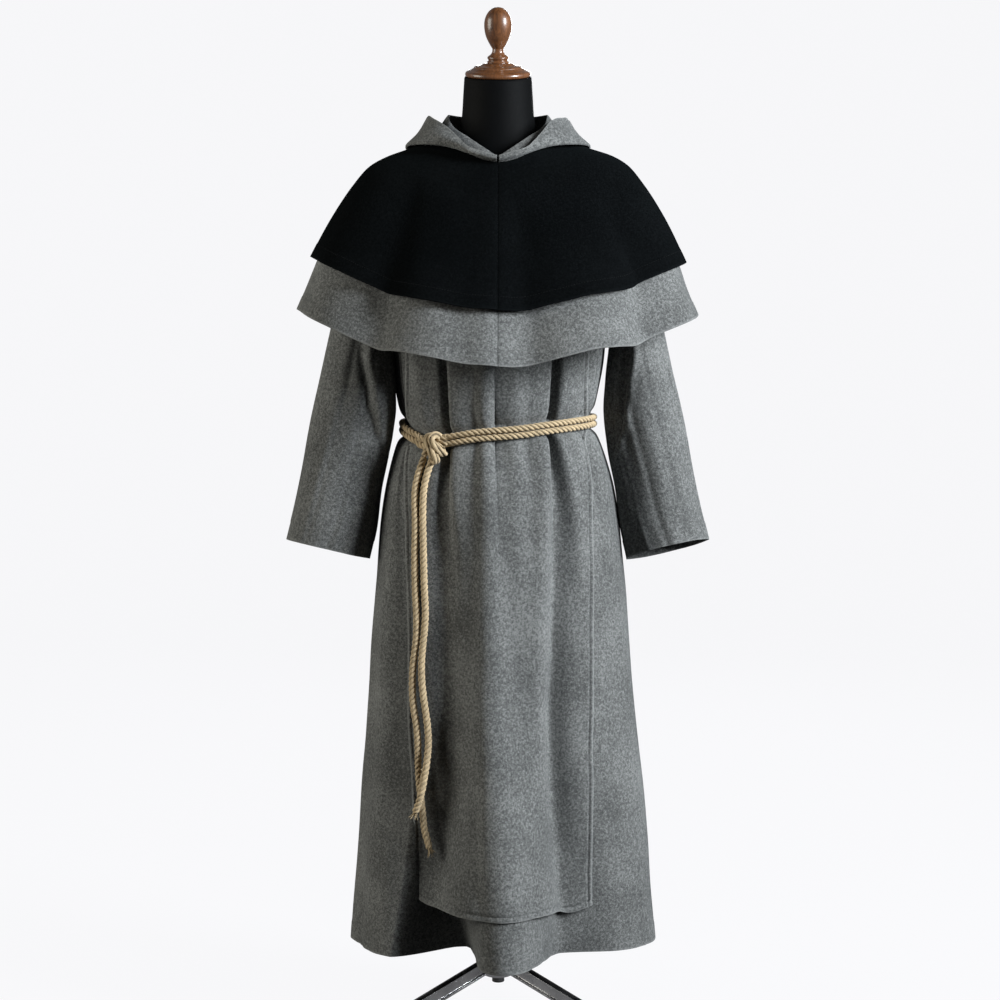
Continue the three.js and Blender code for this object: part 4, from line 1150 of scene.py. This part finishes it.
def build_stand(context):
    """Makes the pole, the hub, the three legs and their rubber feet."""
    a, b, r, hub = HUB_LOW, HUB_LOW + HUB_H, POLE_R, HUB_R
    low, top = b + 0.3, FORM["frontZ"][-1] - 0.3
    turned("steel_pole", crisp((r - 1, low), (r, low + 1), (r, top - 1), (r - 1, top)),
           ON_AXIS, "polished_steel", "form_pole")
    turned("steel_hub", [
        [(hub - 2, a), (hub - 0.6, a + 0.6), (hub, a + 2)],
        *crisp((hub, a + 2), (hub, a + 7), (hub - 1.6, a + 8), (hub - 1.6, b - 8), (hub, b - 7), (hub, b - 4)),
        [(hub, b - 4), (hub - 1.2, b - 1.2), (hub - 4, b)], [(hub - 4, b), (r + POLE_GAP, b)],
    ], ON_AXIS, "polished_steel", "tripod_hub")
    for name, angle in LEG_ANGLES.items():
        turn = ON_AXIS @ Matrix.Rotation(math.radians(angle), 4, "Z")
        fall = Matrix.Rotation(math.pi / 2 + LEG_FALL, 4, "X")
        build_leg(name, turn @ Matrix.Translation(Vector((0, -LEG_START, HUB_Z)) * MM) @ fall)
        turned(f"rubber_foot_{name}", [
            [(10.4, 0), (11.6, 0.5), (12, 1.6)], [(12, 1.6), (12, 4)], [(12, 4), (11.3, 4.6), (11.3, 5.4), (12, 6)],
            [(12, 6), (12, 9)], [(12, 9), (11.4, 11.6), (9.6, 13.4), (7, 14)], [(7, 14), (1, 14)],
        ], turn @ Matrix.Translation(Vector((0, 8 - LEG_REACH, 0)) * MM), "foot_rubber",
            f"tripod_foot_{name}", sides=40)


# ---- Stitches ----
STITCH_PITCH = 4.6
STITCH_HALF = (0.42, 0.34, 1.5)  # half its width, height and length
STITCH_UP = 0.1                 # how far its middle is above the cloth


def stitch_shape():
    """One small stitch, modelled once: its points and its faces."""
    piece = added("stitch", bpy.ops.mesh.primitive_uv_sphere_add, segments=6, ring_count=4, radius=1)
    points = np.empty(len(piece.data.vertices) * 3)
    piece.data.vertices.foreach_get("co", points)
    faces = [tuple(face.vertices) for face in piece.data.polygons]
    bpy.data.objects.remove(piece)
    return points.reshape(-1, 3) * STITCH_HALF, faces


def stitched(name, lines, slot):
    """Rows of stitches: each line is (points, normals) on the cloth."""
    shape, faces = stitch_shape()
    points = []
    for line, normals in lines:
        run = run_of(line)
        where = np.arange(STITCH_PITCH, run[-1] - STITCH_PITCH, STITCH_PITCH)
        spots, n = read_at(where, run, line), read_at(where, run, normals)
        along = np.gradient(spots, axis=0)
        along /= np.linalg.norm(along, axis=1, keepdims=True)
        n -= along * (n * along).sum(1, keepdims=True)
        n /= np.linalg.norm(n, axis=1, keepdims=True)
        local = np.stack([np.cross(n, along), n, along], 1)
        points.append((spots[:, None] + n[:, None] * STITCH_UP + shape @ local).reshape(-1, 3))
    points = np.concatenate(points)
    copies = [tuple(v + first for v in face) for first in range(0, len(points), len(shape)) for face in faces]
    mesh = bpy.data.meshes.new(name)
    mesh.from_pydata(((points + np.array(AXIS)) * MM).tolist(), [], copies)
    piece = bpy.data.objects.new(name, mesh)
    bpy.context.scene.collection.objects.link(piece)
    only(piece)
    bpy.ops.object.shade_smooth()
    return finished(piece, slot, made_of=THREADS[slot])


def inset_line(points, inset, edge):
    """A line at an inset from one edge of a grid, with the cloth's normals."""
    run, normals = run_from(points, edge), facing(points)
    if edge in ("top", "hem"):
        run, points, normals = run.T, points.transpose(1, 0, 2), normals.transpose(1, 0, 2)
    if edge in ("right", "hem"):
        run, points, normals = run[:, ::-1], points[:, ::-1], normals[:, ::-1]

    def read(values):
        return np.array([read_at(inset, *row) for row in zip(run, values)])

    return read(points), read(normals)


# ---- Finishes ----
def node(tree, kind, links=None, **settings):
    """Adds a node: settings are its own, and links are its sockets' values or the sockets they come from."""
    made = tree.nodes.new(kind)
    for name, value in settings.items():
        setattr(made, name, value)
    for socket, value in (links or {}).items():
        if isinstance(value, bpy.types.NodeSocket):
            tree.links.new(value, made.inputs[socket])
        else:
            made.inputs[socket].default_value = value
    return made


def math_node(tree, operation, a, b):
    """A sum or product of two masks or numbers."""
    return node(tree, "ShaderNodeMath", {0: a, 1: b}, operation=operation).outputs[0]


def weighed(tree, *parts):
    """The sum of masks, each (mask, weight)."""
    total, *rest = [math_node(tree, "MULTIPLY", mask, weight) for mask, weight in parts]
    for part in rest:
        total = math_node(tree, "ADD", total, part)
    return total


def noise(tree, where, scale, detail, **more):
    """A noise mask."""
    return node(tree, "ShaderNodeTexNoise", {"Vector": where, "Scale": scale, "Detail": detail, **more}).outputs[0]


def coordinates(tree, kind="Object"):
    """Where a point is on the object, or on its UV map."""
    return node(tree, "ShaderNodeTexCoord").outputs[kind]


def colours(tree, factor, *stops):
    """A colour ramp through stops of (place, colour)."""
    made = node(tree, "ShaderNodeValToRGB", {0: factor})
    ramp_stops = made.color_ramp.elements
    while len(ramp_stops) < len(stops):
        ramp_stops.new(0.5)
    for stop, (place, colour) in zip(ramp_stops, stops):
        stop.position = place
        stop.color = (*colour, 1)
    return made.outputs[0]


def tinted(colour, share):
    """A colour made lighter or darker by a share."""
    return tuple(min(c * share, 1) for c in colour)


def marked(tree, base, attribute, share, colour):
    """A colour that goes over to another one, by a share, where a piece's attribute says."""
    mark = node(tree, "ShaderNodeAttribute", attribute_name=attribute).outputs["Fac"]
    return node(tree, "ShaderNodeMix", {0: math_node(tree, "MULTIPLY", mark, share), 6: base, 7: (*colour, 1)},
                data_type="RGBA").outputs[2]


def surface(tree, shader, colour, rough, relief, **values):
    """Links a shader: its colour, its roughness as (mask, low, high), its relief as (height, strength,
    distance) or None, and its plain values."""
    tree.links.new(colour, shader.inputs["Base Color"])
    mask, low, high = rough
    made = node(tree, "ShaderNodeMapRange", {"Value": mask, "To Min": low, "To Max": high})
    tree.links.new(made.outputs[0], shader.inputs["Roughness"])
    if relief:
        height, strength, distance = relief
        made = node(tree, "ShaderNodeBump", {"Strength": strength, "Distance": distance, "Height": height})
        tree.links.new(made.outputs[0], shader.inputs["Normal"])
    for socket, value in values.items():
        shader.inputs[socket.replace("_", " ")].default_value = value


def felt_group():
    """Felted wool: curled clumps of fibre, fine loose hairs, and a slow change of shade."""
    name = "Felted wool"
    if name in bpy.data.node_groups:
        return bpy.data.node_groups[name]
    tree = bpy.data.node_groups.new(name, "ShaderNodeTree")
    for socket, way, kind in (("Vector", "INPUT", "Vector"), ("Clump", "INPUT", "Float"),
                              ("Shade", "OUTPUT", "Float"), ("Hair", "OUTPUT", "Float"),
                              ("Height", "OUTPUT", "Float")):
        tree.interface.new_socket(socket, in_out=way, socket_type=f"NodeSocket{kind}")
    inputs = node(tree, "NodeGroupInput").outputs
    where, scale = inputs["Vector"], math_node(tree, "DIVIDE", 1.0, inputs["Clump"])
    clumps = noise(tree, where, scale, 4.0, Roughness=0.85)
    hair = noise(tree, where, math_node(tree, "MULTIPLY", scale, 3.1), 3.0, Roughness=0.75)
    height = weighed(tree, (clumps, 0.56), (hair, 0.30))
    slow = math_node(tree, "MULTIPLY", noise(tree, where, 9.0, 2.0), 0.14)
    node(tree, "NodeGroupOutput", {"Shade": math_node(tree, "ADD", height, slow), "Hair": hair, "Height": height})
    return tree


def finish(name):
    """Makes a finish once: the function below it fills the new material's tree and links its shader."""
    def once(fill):
        def make():
            if name in bpy.data.materials:
                return bpy.data.materials[name]
            made = bpy.data.materials.new(name)
            made.use_nodes = True
            tree = made.node_tree
            tree.nodes.clear()
            shader = node(tree, "ShaderNodeBsdfPrincipled")
            node(tree, "ShaderNodeOutputMaterial", {"Surface": shader.outputs[0]})
            fill(tree, shader)
            return made
        return make
    return once


def felt(tree, shader, colour, clump, low, high, sheen, tint, specular=0.05):
    """Felted wool of one colour, mottled from its low share to its high one, with a painted highlight along its cut
    edges.
    """
    pile = node(tree, "ShaderNodeGroup", node_tree=felt_group())
    tree.links.new(coordinates(tree), pile.inputs["Vector"])
    pile.inputs["Clump"].default_value = clump
    shade = colours(tree, pile.outputs["Shade"], (0.42, tinted(colour, low)), (0.50, colour),
                    (0.58, tinted(colour, high)))
    # The cut edges are painted lighter: a painted highlight where loose fibres catch the light
    surface(tree, shader, marked(tree, shade, "edge", 0.5, tinted(colour, 2.2)), (pile.outputs["Hair"], 0.86, 1.0),
            (pile.outputs["Height"], 0.55, 0.0011), Sheen_Weight=sheen, Sheen_Roughness=0.55,
            Sheen_Tint=(*tint, 1), Specular_IOR_Level=specular)


@finish("Grey heather wool")
def grey_wool(tree, shader):
    """Grey heather wool, bluish where it catches the light."""
    settings = bpy.context.scene.habit_cloth
    felt(tree, shader, tuple(settings.grey), settings.clump, 0.50, 2.0, 0.12, (0.9, 0.96, 1))


@finish("Black wool")
def black_wool(tree, shader):
    """Fine black wool, almost without shine."""
    settings = bpy.context.scene.habit_cloth
    felt(tree, shader, tuple(settings.black), settings.clump * 0.8, 0.6, 1.8, 0.01, (0.75, 0.95, 1), 0.0)


@finish("Grey thread")
def grey_thread(tree, shader):
    """The thread of the grey cloth's stitches."""
    felt(tree, shader, tinted(bpy.context.scene.habit_cloth.grey, 0.8), 0.0006, 0.8, 1.2, 0.1, (1, 1, 1))


@finish("Black thread")
def black_thread(tree, shader):
    """The thread of the black cloth's stitches."""
    felt(tree, shader, tinted(bpy.context.scene.habit_cloth.black, 1.3), 0.0006, 0.8, 1.2, 0.05, (1, 1, 1))


@finish("Black jersey")
def jersey(tree, shader):
    """Fine black knit: ribs up the form and rows round it."""
    colour = tuple(bpy.context.scene.habit_form.jersey)
    uv, where = coordinates(tree, "UV"), coordinates(tree)
    ribs, rows = (node(tree, "ShaderNodeTexWave", {"Vector": uv, "Scale": scale, "Distortion": distortion,
                                                   "Detail": 1.0}, bands_direction=way).outputs[1]
                  for scale, distortion, way in ((105.0, 0.6, "X"), (170.0, 0.9, "Y")))
    lint, slow = noise(tree, where, 420.0, 3.0), noise(tree, where, 14.0, 2.0)
    knit = math_node(tree, "MULTIPLY", ribs, rows)
    mixed = weighed(tree, (knit, 0.3), (math_node(tree, "ADD", lint, slow), 0.35))
    surface(tree, shader, colours(tree, mixed, (0.2, tinted(colour, 0.6)), (0.45, colour),
                                  (0.75, tinted(colour, 1.5))),
            (lint, 0.55, 0.75), (knit, 0.3, 0.0004), Sheen_Weight=0.002, Specular_IOR_Level=0.075)


@finish("Jute rope")
def jute(tree, shader):
    """Twisted jute: long fibres along each strand, paler where they are worn, and painted dark brown shade between
    the strands.
    """
    colour = tuple(bpy.context.scene.habit_rope.colour)
    along = node(tree, "ShaderNodeMapping", {"Vector": coordinates(tree, "UV"), "Rotation": (0, 0, 0.5),
                                             "Scale": (1500, 190, 1)}).outputs[0]
    fibres = noise(tree, along, 1.0, 3.0, Roughness=0.6)
    tone = weighed(tree, (fibres, 0.65), (noise(tree, coordinates(tree), 95.0, 2.0), 0.35))
    fibre = colours(tree, tone, (0.32, tinted(colour, 0.45)), (0.47, colour), (0.66, tinted(colour, 1.3)))
    # Points deep between the strands are painted dark brown: painted shade in the grooves, not the jute's own colour
    surface(tree, shader, marked(tree, fibre, "buried", 0.9, tinted(colour, 0.16)), (fibres, 0.95, 0.75),
            (fibres, 0.6, 0.0008), Sheen_Weight=0.15, Specular_IOR_Level=0.25)


@finish("Varnished wood")
def varnished_wood(tree, shader):
    """Brown turned wood under a clear varnish, its grain along the axis."""
    colour = tuple(bpy.context.scene.habit_form.wood)
    along = node(tree, "ShaderNodeMapping", {"Vector": coordinates(tree), "Scale": (1, 1, 0.09), "Rotation": (
        math.radians(-NECK_SLANT), 0, 0)}).outputs[0]
    grain = noise(tree, along, 260.0, 4.0, Roughness=0.6, Distortion=0.7)
    pores = noise(tree, along, 1400.0, 2.0)
    tone = weighed(tree, (grain, 0.75), (pores, 0.25))
    surface(tree, shader, colours(tree, tone, (0.35, tinted(colour, 0.45)), (0.5, colour),
                                  (0.64, tinted(colour, 1.5))),
            (pores, 0.3, 0.42), (grain, 0.12, 0.0004), Coat_Weight=0.55, Coat_Roughness=0.16)


@finish("Polished steel")
def polished_steel(tree, shader):
    """Polished steel with fine rubbing marks."""
    where = coordinates(tree)
    marks, smudges = noise(tree, where, 700.0, 4.0), noise(tree, where, 40.0, 2.0)
    surface(tree, shader, colours(tree, smudges, (0.3, (0.50, 0.50, 0.51)), (0.7, (0.66, 0.66, 0.67))),
            (smudges, 0.16, 0.34), (marks, 0.05, 0.0002), Metallic=1)


@finish("Foot rubber")
def foot_rubber(tree, shader):
    """Dark moulded rubber, dusty on its sides."""
    dust = noise(tree, coordinates(tree), 160.0, 4.0)
    surface(tree, shader, colours(tree, dust, (0.4, (0.012, 0.012, 0.013)), (0.75, (0.045, 0.044, 0.043))),
            (dust, 0.6, 0.85), None)


FINISHES = {"grey_wool": grey_wool, "black_wool": black_wool, "jute_rope": jute, "black_jersey": jersey,
            "turned_wood": varnished_wood, "polished_steel": polished_steel, "foot_rubber": foot_rubber}
THREADS = {"grey_wool": grey_thread, "black_wool": black_thread}


# ---- Studio ----
CAMERA = (0.0035, AXIS.y * MM - 3.2, 1.169)
LOOKS = (0, 3.2, -0.21)         # the camera's direction
LIT = (0, 0, 1.0)               # where the lights point
LIGHTS = {                      # place, size and colour
    "key": ((3.12, -1.8, 2.3), (1.0, 1.6), (0.91, 0.955, 1.0)),
    "fill": ((-3.4, -0.85, 1.9), (1.9, 2.4), (1.0, 0.97, 0.88)),
    "behind": ((0.5, 3.6, 2.4), (1.4, 1.2), (0.95, 0.97, 1.0)),
}


def area_light(name, power):
    """A soft rectangular light, turned towards the garment."""
    place, size, colour = LIGHTS[name]
    direction = Vector(LIT) - Vector(place)
    bpy.ops.object.select_all(action="DESELECT")
    bpy.ops.object.light_add(type="AREA", location=place, rotation=direction.to_track_quat("-Z", "Y").to_euler())
    light = bpy.context.object
    light.name = name
    light.data.shape = "RECTANGLE"
    light.data.size, light.data.size_y = size
    light.data.energy = power
    light.data.color = colour
    light.visible_camera = False


def paper(settings):
    """Pale paper, even to the camera, that gives back less light than it shows."""
    made = bpy.data.materials.new("Studio paper")
    made.use_nodes = True
    tree = made.node_tree
    tree.nodes.clear()
    white = (0.90, 0.90, 0.915, 1)
    plain = node(tree, "ShaderNodeBsdfDiffuse", {"Color": white})
    lit = node(tree, "ShaderNodeEmission", {"Color": (0.935, 0.935, 0.952, 1), "Strength": settings.paper})
    seen = node(tree, "ShaderNodeMixShader", {0: 0.97, 1: plain.outputs[0], 2: lit.outputs[0]})
    path = node(tree, "ShaderNodeLightPath")
    mirrored = math_node(tree, "MULTIPLY", path.outputs["Is Glossy Ray"], settings.mirrored)
    dim = node(tree, "ShaderNodeEmission", {"Color": white, "Strength": math_node(
        tree, "ADD", mirrored, settings.surround)})
    choice = node(tree, "ShaderNodeMixShader", {0: path.outputs["Is Camera Ray"], 1: dim.outputs[0],
                                                2: seen.outputs[0]})
    node(tree, "ShaderNodeOutputMaterial", {"Surface": choice.outputs[0]})
    return made


def backdrop(settings):
    """A pale floor that curves up into a round backdrop, drawn out ring by ring from the floor's middle."""
    r0, z0 = 0.5, 0.0
    piece = added("studio_floor", bpy.ops.mesh.primitive_circle_add, vertices=128, radius=r0, fill_type="NGON")
    edit_all()
    bpy.ops.mesh.select_mode(type="EDGE")
    bpy.ops.mesh.region_to_loop()
    curve = [(5.5 + 3 * math.sin(a), 3 - 3 * math.cos(a)) for a in np.linspace(0, math.pi / 2, 20)]
    for r1, z1 in [(1, 0), (2, 0), (4, 0), *curve, (8.5, 12)]:
        bpy.ops.mesh.extrude_edges_move(TRANSFORM_OT_translate={"value": (0, 0, z1 - z0)})
        bpy.ops.transform.resize(value=(r1 / r0, r1 / r0, 1), center_override=(0, 0, z1))
        r0, z0 = r1, z1
    bpy.ops.object.mode_set(mode="OBJECT")
    bpy.ops.object.shade_smooth()
    piece.data.materials.append(paper(settings))


def build_studio(context):
    """Sets the pale floor and backdrop, the soft lights and the camera."""
    settings = context.scene.habit_studio
    bpy.ops.object.camera_add(location=CAMERA)
    camera = context.object
    camera.name = "habit_camera"
    camera.rotation_euler = Vector(LOOKS).to_track_quat("-Z", "Y").to_euler()
    camera.data.lens, camera.data.sensor_width = settings.lens, 36
    context.scene.camera = camera
    backdrop(settings)
    for name in LIGHTS:
        area_light(name, getattr(settings, name))
    world = context.scene.world or bpy.data.worlds.new("World")
    context.scene.world = world
    world.use_nodes = True
    sky = world.node_tree.nodes.get("Background")
    sky.inputs[0].default_value = (0.93, 0.93, 0.945, 1)
    sky.inputs[1].default_value = settings.sky
    context.scene.view_settings.view_transform = "Standard"


# ---- Settings and buttons ----
class HabitCloth(bpy.types.PropertyGroup):
    thickness: FloatProperty(name="Thickness", description="Thickness of the wool cloth", default=0.0022,
                             min=0.001, max=0.003, unit="LENGTH", subtype="DISTANCE")
    clump: FloatProperty(name="Clump", description="Size of the felt's curled clumps", default=0.0042,
                         min=0.001, unit="LENGTH", subtype="DISTANCE")
    grey: FloatVectorProperty(name="Grey wool", description="Middle colour of the heather wool", size=3,
                              default=(0.118, 0.121, 0.118), min=0, max=1, subtype="COLOR")
    black: FloatVectorProperty(name="Black wool", description="Middle colour of the black cape", size=3,
                               default=(0.0028, 0.0033, 0.0036), min=0, max=1, subtype="COLOR")


class HabitRope(bpy.types.PropertyGroup):
    diameter: FloatProperty(name="Diameter", description="Thickness of the rope", default=0.0126,
                            min=0.006, max=0.02, unit="LENGTH", subtype="DISTANCE")
    lay: FloatProperty(name="Lay", description="Length of rope in which a strand goes round once",
                       default=0.027, min=0.015, unit="LENGTH", subtype="DISTANCE")
    colour: FloatVectorProperty(name="Jute", description="Middle colour of the rope", size=3,
                                default=(0.48, 0.37, 0.225), min=0, max=1, subtype="COLOR")


class HabitForm(bpy.types.PropertyGroup):
    jersey: FloatVectorProperty(name="Jersey", description="Colour of the form's cover", size=3,
                                default=(0.0010, 0.0013, 0.0016), min=0, max=1, subtype="COLOR")
    wood: FloatVectorProperty(name="Wood", description="Middle colour of the turned wood", size=3,
                              default=(0.135, 0.052, 0.018), min=0, max=1, subtype="COLOR")


class HabitStudio(bpy.types.PropertyGroup):
    lens: FloatProperty(name="Lens", description="Focal length of the camera", default=65.97,
                        unit="CAMERA", subtype="DISTANCE_CAMERA")
    key: FloatProperty(name="Key", description="Power of the soft light on the right", default=310.0,
                       unit="POWER")
    fill: FloatProperty(name="Fill", description="Power of the weaker light on the left", default=88.0,
                        unit="POWER")
    behind: FloatProperty(name="Behind", description="Power of the weak light on the back", default=55.0,
                          unit="POWER")
    paper: FloatProperty(name="Paper", description="Brightness of the floor and backdrop", default=1.015)
    surround: FloatProperty(name="Surround", description="Light that the paper gives back", default=0.035)
    mirrored: FloatProperty(name="Mirrored", description="Brightness of the paper in polished things", default=0.18)
    sky: FloatProperty(name="Sky", description="Light from above the backdrop", default=0.05)


class Step:
    """What every button does: its builds, in order."""
    builds = ()

    def execute(self, context):
        for build in self.builds:
            build(context)
        return {"FINISHED"}


class HABIT_OT_studio(Step, bpy.types.Operator):
    """Set the floor, backdrop, lights and camera"""
    bl_idname, bl_label = "habit.studio", "Studio"
    builds = (build_studio,)


class HABIT_OT_rope_ends(Step, bpy.types.Operator):
    """Hang the rope's two free ends"""
    bl_idname, bl_label = "habit.rope_ends", "Rope ends"
    builds = (build_rope_ends,)


class HABIT_OT_belt(Step, bpy.types.Operator):
    """Wind the rope belt round the waist and tie its knot"""
    bl_idname, bl_label = "habit.belt", "Belt and knot"
    builds = (build_belt, build_knot)


class HABIT_OT_tunic(Step, bpy.types.Operator):
    """Hang the tunic's front and back panels"""
    bl_idname, bl_label = "habit.tunic", "Tunic"
    builds = (build_tunic,)


class HABIT_OT_scapular(Step, bpy.types.Operator):
    """Lay the scapular over the tunic, in front and behind"""
    bl_idname, bl_label = "habit.scapular", "Scapular"
    builds = (build_scapular,)


class HABIT_OT_sleeves(Step, bpy.types.Operator):
    """Hang the two wide sleeves"""
    bl_idname, bl_label = "habit.sleeves", "Sleeves"
    builds = (build_sleeves,)


class HABIT_OT_capes(Step, bpy.types.Operator):
    """Lay the grey cape and the black cape on the shoulders"""
    bl_idname, bl_label = "habit.capes", "Capes"
    builds = (build_capes,)


class HABIT_OT_hood(Step, bpy.types.Operator):
    """Fold the hood down round the neck"""
    bl_idname, bl_label = "habit.hood", "Hood"
    builds = (build_hood,)


class HABIT_OT_form(Step, bpy.types.Operator):
    """Cover the form and turn its wooden cap and finial"""
    bl_idname, bl_label = "habit.form", "Dress form"
    builds = (build_torso, build_wood)


class HABIT_OT_stand(Step, bpy.types.Operator):
    """Make the pole, hub, legs and feet"""
    bl_idname, bl_label = "habit.stand", "Stand"
    builds = (build_stand,)


STEPS = (HABIT_OT_studio, HABIT_OT_rope_ends, HABIT_OT_belt, HABIT_OT_tunic, HABIT_OT_scapular,
         HABIT_OT_sleeves, HABIT_OT_capes, HABIT_OT_hood, HABIT_OT_form, HABIT_OT_stand)
SETTINGS = {"habit_cloth": HabitCloth, "habit_rope": HabitRope, "habit_form": HabitForm,
            "habit_studio": HabitStudio}


class HABIT_PT_panel(bpy.types.Panel):
    """The sizes and colours, and a button for each step"""
    bl_idname = "HABIT_PT_panel"
    bl_label = "Monk habit"
    bl_space_type = "VIEW_3D"
    bl_region_type = "UI"
    bl_category = "Habit"

    def draw(self, context):
        for attribute, kind in SETTINGS.items():
            box = self.layout.box()
            for name in kind.__annotations__:
                box.prop(getattr(context.scene, attribute), name)
        for step in STEPS:
            self.layout.operator(step.bl_idname)


CLASSES = (*SETTINGS.values(), *STEPS, HABIT_PT_panel)


def register():
    for kind in CLASSES:
        bpy.utils.register_class(kind)
    for attribute, kind in SETTINGS.items():
        setattr(bpy.types.Scene, attribute, PointerProperty(type=kind))


def unregister():
    for attribute in SETTINGS:
        delattr(bpy.types.Scene, attribute)
    for kind in reversed(CLASSES):
        bpy.utils.unregister_class(kind)


def main():
    register()
    for step in STEPS:
        area, name = step.bl_idname.split(".")
        getattr(getattr(bpy.ops, area), name)()


if __name__ == "__main__":
    main()
